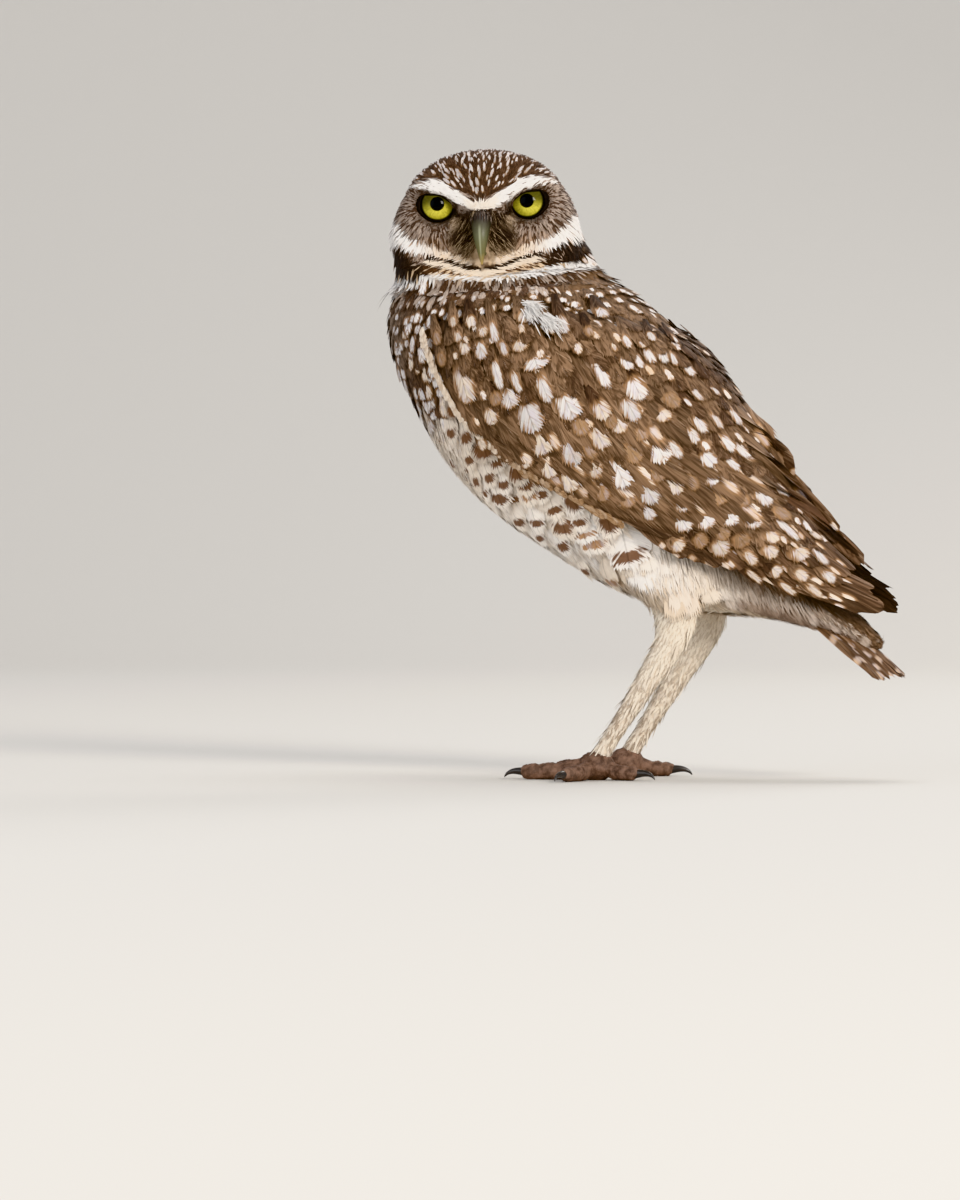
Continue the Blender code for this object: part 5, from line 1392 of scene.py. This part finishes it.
def wingLook(kind, count, outer, draw):
    # attributes of a row's feathers; outer is the side of the vane that shows, -1 or 1
    def jitter(size):
        return draw.normal(0, size, count)

    luck = draw.uniform(0.62, 1.22, count)[:, None]
    marked = draw.random(count) < 0.65
    if kind == "primary":
        return dict(ground=plumage["flight"] * luck * 0.85, mark=plumage["cream"], pale=0.6,
                    spotA=rowsOf(count, 0.5 + 0.42 * outer, 0.84 + jitter(0.03), 0.22, 0.022),
                    spotB=rowsOf(count, 0.5 + 0.42 * outer, 0.68 + jitter(0.03), 0.24, 0.026))
    look = dict(ground=plumage["brown"] * luck,
                mark=paint(plumage["cream"], plumage["tan"], draw.random(count)),
                pale=draw.uniform(0.3, 0.7, count))
    if kind == "secondary":
        wide = np.where(marked, 0.12, 0.001)
        look.update(ground=plumage["flight"] * luck,
                    spotA=rowsOf(count, 0.5 + 0.26 * outer + jitter(0.03), 0.93, wide, 0.026),
                    spotB=rowsOf(count, 0.5 + 0.32 * outer, 0.8 + jitter(0.02), wide, 0.026))
    elif kind == "tertial":
        look.update(ground=plumage["darkBrown"] * luck * 1.1,
                    spotA=rowsOf(count, 0.5 + 0.3 * outer, 0.86 + jitter(0.02), 0.1, 0.035))
    elif kind == "primaryCovert":
        look.update(ground=plumage["flight"] * luck)
    else:
        wide = np.where(marked, 0.18, 0.001)
        look.update(spotA=rowsOf(count, 0.5 - 0.2 * outer + jitter(0.06), 0.82 + jitter(0.03), wide, 0.06))
    return look


def wingSpot(x, z, lift, side):
    # a point on the folded wing and the way out of it
    spot = onWing(x, z, lift, side)
    along = onWing(x + 0.8, z, lift, side) - onWing(x - 0.8, z, lift, side)
    upward = onWing(x, z + 0.8, lift, side) - onWing(x, z - 0.8, lift, side)
    return spot, unit(np.cross(along, upward)) * -side


def layWing(coat, side, draw):
    for look, count, width, sunk, lift, roots, tips in wingRows:
        place = np.linspace(0, 1, count)
        roots = smoothRead(roots, place * (len(roots) - 1)) + draw.normal(0, 0.5, (count, 2))
        tips = smoothRead(tips, place * (len(tips) - 1)) + draw.normal(0, 0.7, (count, 2))
        path, ups = wingPath([roots + (tips - roots) * share for share in (0.0, 0.5, 1.0)], side)
        shape = "covert" if look in ("greaterCovert", "middleCovert") else "flight"
        coat.lay(shape, path, ups, width * draw.uniform(0.93, 1.07, count), sunk,
                 lift + draw.normal(0, 0.08, count), roll=-side * 0.09, ragged=0.006,
                 **wingLook(look, count, -side, draw))
    layWingEdge(coat, side, draw)
    laySpots(coat, side, draw)


def layWingEdge(coat, side, draw):
    # cream edge where the wing meets the breast, tan towards its lower end
    edge = wingOutline[:8] + (0.2, 0.1)
    count = 90
    place = np.linspace(0, 6.6, count) + draw.normal(0, 0.03, count)
    aside = draw.normal(0, 0.35, (count, 2))
    rows = [smoothRead(edge, np.clip(place + ahead, 0, 7)) + aside * (0.4 + 2 * ahead)
            for ahead in (0.0, 0.2, 0.4)]
    path, ups = wingPath(rows, side)
    toTan = ease(0.45, 0.75, place / 6.4) * 0.8
    ground = paint(plumage["cream"] * 0.85, plumage["tan"], toTan + draw.uniform(-0.1, 0.35, count))
    width = draw.uniform(1.2, 2.6, count)
    coat.lay("soft", path, ups, width, -1.0, draw.uniform(0.5, 0.9, count) + 0.7 * toTan, roll=-side * 0.1,
             ragged=0.02, ground=ground)


tailForm = dict(root=(64, 0, 66), tip=(105.5, 0, 36), count=12, width=6.0, spread=14.0, drop=3.6, bow=1.8,
                brown=tint(106, 80, 60), bars=tint(196, 168, 140))
tailRun = np.subtract(tailForm["tip"], tailForm["root"])
tailLength = np.linalg.norm(tailRun)
tailWay = tailRun / tailLength


def tailSpread(share):
    # half width of the closed tail, from its root, 0, to its tip, 1
    return tailForm["spread"] * (0.18 + 0.82 * share)


def tailPoint(sideways, reach, lift):
    up = np.array((-tailWay[2], 0, tailWay[0]))
    t = reach / tailLength
    aside = np.minimum(1.0, abs(sideways) / tailSpread(np.maximum(t, 0)))
    rise = tailForm["bow"] * np.sin(math.pi * np.clip(t, 0, 1)) - tailForm["drop"] * aside + lift
    across = np.stack([0 * sideways, sideways, 0 * sideways], -1)
    return np.array(tailForm["root"], float) + tailWay * reach[:, None] + across + up * rise[:, None]


def layTail(coat, draw):
    count = tailForm["count"]
    share = np.linspace(-1, 1, count)
    tips = tailLength * (1 - 0.05 * share ** 2)
    lift = -0.9 * abs(share)
    path = [tailPoint(share * tailSpread(t), tips * t - 3.0 * (1 - t), lift) for t in (0.0, 0.5, 1.0)]
    ups = [unit(np.stack([np.full(count, -tailWay[2]), 0.35 * share, np.full(count, tailWay[0])], -1))] * 3
    ground = tailForm["brown"] * draw.uniform(0.85, 1.15, count)[:, None]
    coat.lay("flight", path, ups, tailForm["width"], 0.0, 0.1, roll=np.where(share < 0, -0.1, 0.1),
             ragged=0.008, ground=ground, mark=tailForm["bars"], pale=0.5,
             bars=rowsOf(count, 4.5, 0.75, draw.random(count), 0.8))


shoulderDown = dict(count=210, place=(-16.0, -32.0, 158.0), size=(1.2, 0.3, 1.1), lower=(7.0, 0.0, -5.0),
                    width=0.42)


def layTufts(surface, coat, draw):
    # the white down that sticks out over the shoulder, a third of it lower
    count = shoulderDown["count"]
    spots = np.array(shoulderDown["place"]) + draw.normal(0, 1, (count, 3)) * shoulderDown["size"]
    spots[count * 2 // 3:] += shoulderDown["lower"]
    p, n = surface.nearest(spots)
    ways = tangent(np.array((0.72, -0.1, -0.66)) + draw.normal(0, 0.24, (count, 3)), n)
    path, ups = follow(surface, p, n, ways, draw.uniform(4.0, 8.5, count), 0.6)
    ground = plumage["white"] * draw.uniform(0.62, 0.9, count)[:, None]
    coat.lay("hair", path, ups, shoulderDown["width"], 3.0, draw.uniform(3.2, 5.6, count), ragged=0.03,
             ground=ground)


# stiff hairs round the bill: those beside it, with some of them on its top, and those over its root
bristles = dict(count=360, top=150, width=0.24, rootCount=85, rootWidth=0.36)


def layBristles(surface, coat, draw):
    count, top = bristles["count"], bristles["top"]
    side = np.where(draw.random(count) < 0.5, -1.0, 1.0)
    x, z = side * draw.uniform(1.8, 7.5, count), draw.uniform(-6.5, 8.0, count)
    x[:top], z[:top] = draw.uniform(-4.2, 4.2, top), draw.uniform(5.4, 8.6, top)
    p, n = surface.nearest(fromHead(facePoint(x, z)))
    high = z > 2.5
    out = np.where(high, draw.uniform(0.1, 0.5, count), draw.uniform(0.3, 0.9, count))
    out[:top] *= 0.6
    reach = np.stack([side * out, draw.uniform(-0.5, -0.1, count), draw.uniform(-1.2, -0.5, count)], -1)
    reach[:top, 1] = draw.uniform(-0.9, -0.5, top)
    ways = unit(reach @ headSpin.T)
    lengths = np.where(high, draw.uniform(2.0, 4.5, count), draw.uniform(3.0, 6.0, count))[:, None]
    path = [p, p + (ways * 0.5 + n * 0.12) * lengths, p + (ways + n * 0.1) * lengths]
    dark = draw.random(count) < np.where(high, 0.8, 0.55)
    color = np.where(dark[:, None], plumage["soot"] * 1.3, plumage["buff"] * 0.55)
    coat.lay("hair", path, [n, n, n], bristles["width"], 0.2, 0.4, ground=color)
    layBillRoot(coat, draw)


def layBillRoot(coat, draw):
    # hairs over the root of the bill, lying along its top
    def along(t, *rows):
        return np.column_stack([np.interp(t, [0, 0.6, 1], row) for row in rows])

    count = bristles["rootCount"]
    x = draw.uniform(-3.3, 3.3, count)
    arch = np.sqrt(1 - (x / 3.6) ** 2)
    reach = draw.uniform(0.35, 1.05, count)
    path, ups = [], []
    for share in (0.0, 0.5, 1.0):
        t = share * reach
        out = unit(along(t, [-0.15, -0.565, -0.79], [0.99, 0.825, 0.61]))
        spot = along(t, [-20, -24.2, -25.8], [5, 3.6, 1.8]) + out * (arch * (3.75 - 0.75 * t))[:, None]
        path.append(fromHead(np.column_stack([x * (1 + 0.12 * t), spot])))
        ups.append(unit(np.column_stack([x * 0.3, out])) @ headSpin.T)
    dark = draw.random(count) < 0.8
    color = np.where(dark[:, None], plumage["soot"] * 1.5, plumage["disc"] * 0.6)
    coat.lay("hair", path, ups, bristles["rootWidth"], 0.0, 0.12, ragged=0.02, ground=color)


def paintSkin(skin, surface, draw):
    q = toHead(surface.points)
    color = bodyColors(surface.points, draw)[0]
    color = np.where(underWing(surface.points)[:, None], plumage["darkBrown"], color)
    color = np.where(isHead(q)[:, None], headColors(q, draw), color) * 0.9
    onLeg = (1 - ease(57, 72, surface.points[:, 2])) * (surface.points[:, 0] < 50)
    color = paint(color, tint(222, 206, 186), onLeg)
    pointColors(skin.data, "ground", np.column_stack([color, np.ones(len(color))]))


# eyes, bill, claws and feet
def eyeFinish():
    web = Web("eye")
    u, v, _ = web.parts(web.node("ShaderNodeUVMap", {"uv_map": "iris"}))
    x, z = (u - 0.5) * eyeLook["mapSize"], (v - 0.5) * eyeLook["mapSize"]
    px, pz = x - eyeLook["pupilAt"][0], z - eyeLook["pupilAt"][1]
    far = (px * px + pz * pz).math("SQRT")
    turn = px.math("ARCTAN2", pz)
    rays = web.noise(web.vector(turn * 7.0, far * 0.7, 0.0), 1.0, 4.0, 0.65)
    yellow = web.mix(web.step(0.35, 0.75, rays) * 0.4, eyeLook["yellow"], eyeLook["oliveRaysAndShade"])
    # painted shade: the top of the iris darkened to olive, where the brow shadows it
    yellow = web.mix(web.step(-2.6, 2.2, z + x * 0.15) * 0.9, yellow, eyeLook["oliveRaysAndShade"])
    yellow = web.mix(web.step(eyeLook["iris"] - 0.5, eyeLook["iris"] + 0.1, far), yellow, eyeLook["rim"])
    pupil = 1 - web.step(eyeLook["pupil"] - 0.1, eyeLook["pupil"] + 0.1, far)
    color = web.mix(pupil, yellow, (0.0005, 0.0005, 0.0005))
    return web.finish(Base_Color=color, Roughness=0.2, Specular_IOR_Level=0.04, Coat_Weight=0.16,
                      Coat_Roughness=0.03)


def makeEye(side, name):
    # side is 1 for the eye on the picture's right
    centre = eyeSpot * (side, 1, 1)
    at = toFrame(fromHead(centre))
    bpy.ops.object.select_all(action="DESELECT")
    bpy.ops.mesh.primitive_uv_sphere_add(segments=64, ring_count=40, radius=eyeLook["radius"] * mm,
                                         location=at)
    eye = bpy.context.object
    eye.name = eye.data.name = name
    spin = headMatrix.to_3x3().to_4x4() @ Matrix.Rotation(math.pi / 2, 4, "X")
    eye.data.transform(Matrix.Translation(at) @ spin)
    eye.location = (0, 0, 0)
    local = toHead(planPoints(eye.data)) - centre
    front = ease(0.72, 0.95, -local[:, 1] / eyeLook["radius"])
    local = local * (1 + front * eyeLook["bulge"] / eyeLook["radius"])[:, None]
    movePoints(eye.data, fromHead(local + centre))
    cornerMap(eye.data, "iris", np.stack([local[:, 0] * side, local[:, 2]], -1) / eyeLook["mapSize"] + 0.5)
    smoothFaces(eye.data)
    return asPiece(eye)


# rings of the eyelid: how far out from the open eye's edge and how far above the eyeball
lidRings = ((0.0, -0.5), (-0.05, 0.05), (0.12, 0.3), (0.35, 0.35), (0.7, 0.1), (1.3, -0.6), (1.8, -1.6),
            (0.9, -1.8))


def makeLid(side, name, material):
    # a closed rim round the open eye, running in under the face's feathers
    centre = eyeSpot * (side, 1, 1)
    outline = eyeOutline(np.linspace(0, 2 * math.pi, 96, endpoint=False))
    ahead = unit(np.roll(outline, -1, axis=0) - np.roll(outline, 1, axis=0))
    out = np.stack([ahead[:, 1], -ahead[:, 0]], -1)
    rings = []
    for offset, rise in lidRings:
        flat = outline + out * offset
        reach = np.maximum(np.sqrt(np.maximum(6.75 ** 2 - (flat ** 2).sum(1), 0)), 3.6)
        rings.append(fromHead(np.stack([flat[:, 0] * side, -reach - rise, flat[:, 1]], -1) + centre))
    rows, columns = len(rings), len(outline)
    quads = gridFaces(rows + 1, columns) % (rows * columns)
    return facesOut(newMesh(name, np.vstack(rings), quads, material, "head_feathers"))


def plainFinish(name, color, other, scale, rough, height, coat=0.0, share=0.5, shine=0.5):
    # horn, claw or bare skin: two colours mottled over the piece, with fine relief
    web = Web(name)
    mottle = web.noise(web.place(), scale, 4.0, 0.6)
    fine = web.noise(web.place(), scale * 5, 3.0)
    shade = web.mix(web.step(0.35, 0.7, mottle) * share, color, other)
    bumped = web.node("ShaderNodeBump", {}, {"Strength": 0.4, "Distance": height, "Height": fine})
    return web.finish(Base_Color=shade, Roughness=fine * 0.2 + rough, Normal=bumped, Coat_Weight=coat,
                      Coat_Roughness=0.2, Specular_IOR_Level=shine)


billForm = dict(
    path=[(0, -15, 5), (0, -20, 5), (0, -24.2, 3.6), (0, -27, 0.2), (0, -27.6, -4.2), (0, -26.6, -10.2)],
    radii=[(3.6, 3.8), (3.6, 3.6), (3.3, 3.1), (2.75, 2.5), (1.85, 1.8), (0.3, 0.35)],
    jawPath=[(0, -15, -4.0), (0, -20, -5.6), (0, -23.2, -7.4)], jawRadii=[(2.6, 1.6), (2.1, 1.4), (0.7, 0.5)],
    nostrils=[(-3.5, -23.2, 5.0), (3.5, -23.2, 5.0)])
billColors = [(0.0, srgb(34, 27, 22)), (0.44, srgb(46, 38, 31)), (0.54, srgb(70, 66, 48)),
              (0.68, srgb(90, 90, 62)), (0.86, srgb(104, 100, 64)),
              (1.0, srgb(172, 146, 88))]  # from the root to the tip


def billFinish():
    web = Web("bill")
    length, height, _ = web.parts(web.node("ShaderNodeUVMap", {"uv_map": "length"}))
    mottle = web.noise(web.place(), 500.0, 4.0)
    color = web.node("ShaderNodeValToRGB", {"stops": billColors}, [length + (mottle - 0.5) * 0.1])
    # painted shade: the bill darker down its sides, as they turn away from the light
    color = web.mix((1 - web.step(0.1, 0.75, height)) * 0.55, color, srgb(46, 44, 32))
    # painted highlight: a pale streak along the bill's ridge, midway down its length
    ridgeHighlight = web.step(0.975, 1.0, height) * web.step(0.5, 0.62, length) * (1 - web.step(0.85, 0.97, length))
    color = web.mix(ridgeHighlight * 0.45, color, srgb(176, 178, 150))
    bumped = web.node("ShaderNodeBump", {}, {"Strength": 0.25, "Distance": 0.0002, "Height": mottle})
    return web.finish(Base_Color=color, Roughness=mottle * 0.2 + 0.42, Coat_Weight=0.05, Coat_Roughness=0.25,
                      Normal=bumped)


def makeBill(name, path, radii, material, nostrils=()):
    rings = tubeRings(np.array(path, float), np.array(radii, float), 32, (1, 0, 0), 8)
    rows, columns = rings.shape[:2]
    for spot in nostrils:
        inward = unit(np.array((0, -22.0, 3.5)) - rings)
        rings = rings + inward * (0.9 * bump(np.linalg.norm(rings - spot, axis=-1), 0.95))[..., None]
    made = closedForm(name, fromHead(rings), material, "bill_horn")
    along = np.repeat(np.linspace(0, 1, rows), columns)
    turn = np.tile(np.linspace(0, 2 * math.pi, columns, endpoint=False), rows)
    cornerMap(made.data, "length", np.stack([along, abs(np.sin(turn))], -1))
    return made


# toes: turn from straight ahead, length and thickness
toes = dict(inner=(-28, 17, 2.9), middle=(6, 21, 3.0), outer=(78, 18, 2.8), hind=(168, 12, 2.7))
# pads and joints along a toe: place, height and half width
toeProfile = np.array([
    (0, 1.5, 1.05), (.12, 1.42, 1.0), (.2, 1.3, 0.95), (.3, 1.14, 1.04), (.38, 1, .98), (.46, .9, .86),
    (.52, .92, .92), (.62, .96, 1.04), (.7, .9, .9), (.78, .86, .84), (.86, .9, .97), (.94, .86, .9),
    (1, .8, .66), (1.04, .68, .5), (1.07, .54, .3)])
clawForm = dict(length=8.6, fall=1.7, sweep=72, start=0.3, wide=1.25, tall=1.5)
footForm = dict(heel=(6.2, 5.4, 4.9), voxel=0.42, smoothing=3, folds=0.16, grain=0.12)


def toePath(side, name):
    turn, length, thick = toes[name]
    angle = math.pi - side * math.radians(turn)
    ahead = np.array((math.cos(angle), math.sin(angle), 0.0))
    start = np.array((4.0, side * legForm["spread"], 0.0))
    t, tall, wide = toeProfile.T
    path = start + ahead * (length * t + 3)[:, None] + np.array((0, 0, 1.0)) * (thick * tall)[:, None]
    return path, np.column_stack([thick * wide, thick * np.minimum(tall, 1.0) * 0.98]), ahead


def makeFoot(side, name, material):
    pieces = []
    for toe in toes:
        path, radii, ahead = toePath(side, toe)
        rings = tubeRings(path, radii, 20, (-ahead[1], ahead[0], 0), 3)
        rings[..., 2] = np.maximum(rings[..., 2], 0.02)
        pieces.append(closedForm("toe", rings))
    heel = toFrame((4, side * legForm["spread"], 4.6))
    bpy.ops.object.select_all(action="DESELECT")
    bpy.ops.mesh.primitive_uv_sphere_add(segments=32, ring_count=20, radius=mm, location=heel,
                                         scale=footForm["heel"])
    pieces.append(bpy.context.object)
    path, radii = legPath(side)
    pieces.append(closedForm("ankle", tubeRings(path[-2:] + (0, 0, -1), radii[-2:] * 0.95, 20, (0, 1, 0), 3)))
    foot = joined(pieces)
    bpy.ops.object.transform_apply(location=True, rotation=True, scale=True)
    foot.name = foot.data.name = name
    applied(foot, "REMESH", mode="VOXEL", voxel_size=footForm["voxel"] * mm)
    applied(foot, "SMOOTH", factor=0.5, iterations=footForm["smoothing"])
    mesh = foot.data
    points = planPoints(mesh)
    rough = footForm["folds"] * wobble(points, 1.6, 3) + footForm["grain"] * wobble(points, 0.9, 5)
    points = points + vertexRows(mesh, "normal") * rough[:, None]
    points[:, 2] = np.maximum(points[:, 2], 0.0)
    movePoints(mesh, points)
    smoothFaces(mesh)
    mesh.materials.clear()
    mesh.materials.append(material)
    return asPiece(foot)


def makeClaw(side, toe, name, material):
    path, _, ahead = toePath(side, toe)
    start = path[-3] + ahead * clawForm["start"] - ahead * 1.2
    share = np.linspace(0, 1, 15)
    run = clawForm["length"] * np.sin(np.radians(clawForm["sweep"] * share))
    rise = 0.5 * np.sin(math.pi * share) - clawForm["fall"] * share ** 3
    line = start + ahead * run[:, None] + np.array((0, 0, 1.0)) * rise[:, None]
    taper = (1 - share) ** 0.8
    radii = np.column_stack([clawForm["wide"] * taper + 0.1, clawForm["tall"] * taper + 0.1])
    rings = tubeRings(line, radii, 20, (-ahead[1], ahead[0], 0))
    rings[..., 2] = np.maximum(rings[..., 2], 0.05)
    return closedForm(name, rings, material, "claw_horn")


# camera: turn from the owl's left side, angle above level, metres away, and the picture's middle
view = dict(azimuth=18.0, elevation=1.2, away=3.0, lens=36 * 3000 / 402, target=(-40.2, 59.6))


def makeCamera():
    a, e = math.radians(view["azimuth"]), math.radians(view["elevation"])
    look = Vector((-math.sin(a) * math.cos(e), math.cos(a) * math.cos(e), -math.sin(e)))
    right = Vector((math.cos(a), math.sin(a), 0))
    aside, high = view["target"]
    target = Vector(toFrame((0, 0, 0))) + right * aside * mm + Vector((0, 0, high * mm))
    bpy.ops.object.camera_add(location=target - look * view["away"])
    camera = bpy.context.object
    camera.rotation_euler = look.to_track_quat("-Z", "Y").to_euler()
    camera.data.lens = view["lens"]
    camera.data.clip_start = 0.05
    camera.data.clip_end = 30
    bpy.context.scene.camera = camera
    return look, right


studio = dict(
    lights=[("key", (1.3, -2.3, 1.15), 74, 0.9, (1.0, 0.965, 0.91)),
            ("fill", (-1.6, -1.5, 0.5), 16, 1.8, (0.94, 0.97, 1.0)),
            ("top", (0.2, 0.3, 1.9), 16, 1.4, (1, 1, 1)),
            ("rim", (0.9, 1.3, 0.9), 9, 0.8, (1.0, 0.97, 0.93))],
    world=0.55, floor=srgb(206, 202, 196))


def makeStudio(look, right):
    for name, (side, near, height), power, size, color in studio["lights"]:
        flat = Vector((look.x, look.y, 0)).normalized()
        place = right * side + flat * near + Vector((0, 0, height))
        bpy.ops.object.light_add(type="AREA", location=place)
        lamp = bpy.context.object
        lamp.name = name
        lamp.rotation_euler = (Vector((0, 0, 0.1)) - place).to_track_quat("-Z", "Y").to_euler()
        lamp.data.energy, lamp.data.size, lamp.data.color = power, size, color
    world = bpy.data.worlds.new("studio")
    world.use_nodes = True
    world.node_tree.nodes["Background"].inputs[0].default_value = (0.9, 0.93, 1.0, 1)
    world.node_tree.nodes["Background"].inputs[1].default_value = studio["world"]
    bpy.context.scene.world = world
    bpy.context.scene.view_settings.view_transform = "Khronos PBR Neutral"
    bpy.ops.object.select_all(action="DESELECT")
    bpy.ops.mesh.primitive_plane_add(size=5.0, location=(0, 0, 0),
                                     rotation=(0, 0, math.radians(view["azimuth"])))
    floor = bpy.context.object
    floor.name = "floor"
    bpy.ops.object.transform_apply(location=True, rotation=True, scale=True)
    flat = Vector((look.x, look.y, 0)).normalized()
    bpy.ops.object.mode_set(mode="EDIT")
    bpy.ops.mesh.select_all(action="DESELECT")
    bpy.ops.object.mode_set(mode="OBJECT")
    for edge in floor.data.edges:
        edge.select = all(floor.data.vertices[k].co.dot(flat) > 1 for k in edge.vertices)
    for vertex in floor.data.vertices:
        vertex.select = vertex.co.dot(flat) > 1
    bpy.ops.object.mode_set(mode="EDIT")
    bpy.ops.mesh.extrude_region_move(TRANSFORM_OT_translate={"value": (0, 0, 3.5)})
    bpy.ops.object.mode_set(mode="OBJECT")
    for edge in floor.data.edges:
        ends = [floor.data.vertices[k].co for k in edge.vertices]
        edge.select = all(p.dot(flat) > 1 and p.z < 0.1 for p in ends)
    bpy.ops.object.mode_set(mode="EDIT")
    bpy.ops.mesh.bevel(offset=1.2, segments=24, affect="EDGES")
    bpy.ops.object.mode_set(mode="OBJECT")
    bpy.ops.object.shade_smooth()
    web = Web("floor")
    cloud = web.noise(web.place(), 1.2, 3.0)
    color = web.mix(cloud * 0.1, studio["floor"], (0.62, 0.6, 0.56))
    floor.data.materials.append(web.finish(Base_Color=color, Roughness=0.85, Specular_IOR_Level=0.2))


look, right = makeCamera()
makeStudio(look, right)
print("camera and studio")

feathered, down = plumageFinish(), skinFinish()
skin = makeSkin()
surface = Surface(skin)
draw = np.random.default_rng(coatPlan["seed"])
paintSkin(skin, surface, draw)
skin.data.materials.clear()
skin.data.materials.append(down)
print("skin", len(surface.tris), "triangles")

pool = surface.scatter(coatPlan["candidates"], draw)
plumes, legs = Coat("breast_and_belly_coat", "body_feathers", draw), Coat("leg_coat", "leg_feathers", draw)
layBody(surface, pool, plumes, legs, draw)
layMarks(surface, plumes, flankBars, ("bar", "bar", "tawny"), draw, 12.0, 2.6, 2.6)
layMarks(surface, plumes, breastSpots, ("white", "cream", "smoke"), draw, 6.0, 1.2, 1.2)
headCoat = Coat("head_coat", "head_feathers", draw)
layHead(surface, pool, headCoat, draw)
wings = [Coat("wing_coat_left", "wing_feathers", draw), Coat("wing_coat_right", "wing_feathers", draw)]
back = Coat("back_coat", "body_feathers", draw)
for coat, side in zip(wings, (leftSide, rightSide)):
    layWing(coat, side, draw)
layShingles(surface, pool, [*wings, back], draw)
layTufts(surface, wings[0], draw)
layBristles(surface, headCoat, draw)
for coat in (plumes, legs, headCoat, back, *wings):
    coat.build(feathered)
tailCoat = Coat("tail_coat", "tail_feathers", draw)
layTail(tailCoat, draw)
tailCoat.build(feathered)

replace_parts(skin, "head", "neck", "torso", "tail", "wing_left", "wing_right", "thigh_left", "thigh_right",
            "shank_left", "shank_right")

eyeShine = eyeFinish()
lidSkin = plainFinish("eyelid", srgb(14, 11, 9), srgb(40, 31, 24), 600.0, 0.6, 0.0002, shine=0.1)
for side, name in ((1, "left"), (-1, "right")):
    eye = makeEye(side, "eyeball_" + name)
    eye.data.materials.append(eyeShine)
    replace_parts(eye, "eye_" + name)
    makeLid(side, "eyelid_" + name, lidSkin)
horn = billFinish()
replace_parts(makeBill("bill_top", billForm["path"], billForm["radii"], horn, billForm["nostrils"]),
            "bill_upper")
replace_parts(makeBill("bill_under", billForm["jawPath"], billForm["jawRadii"], horn), "bill_lower")
footSkin = plainFinish("foot skin", srgb(126, 98, 82), srgb(66, 48, 39), 420.0, 0.65, 0.0008, share=0.85)
clawHorn = plainFinish("claw", srgb(38, 33, 30), srgb(70, 60, 52), 300.0, 0.25, 0.0001, coat=0.4, share=0.5)
for side, name in ((leftSide, "left"), (rightSide, "right")):
    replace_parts(makeFoot(side, "toes_" + name, footSkin), "foot_" + name)
    for toe in toes:
        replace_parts(makeClaw(side, toe, f"talon_{name}_{toe}", clawHorn), f"claw_{name}_{toe}")
print("eyes, bill and feet")
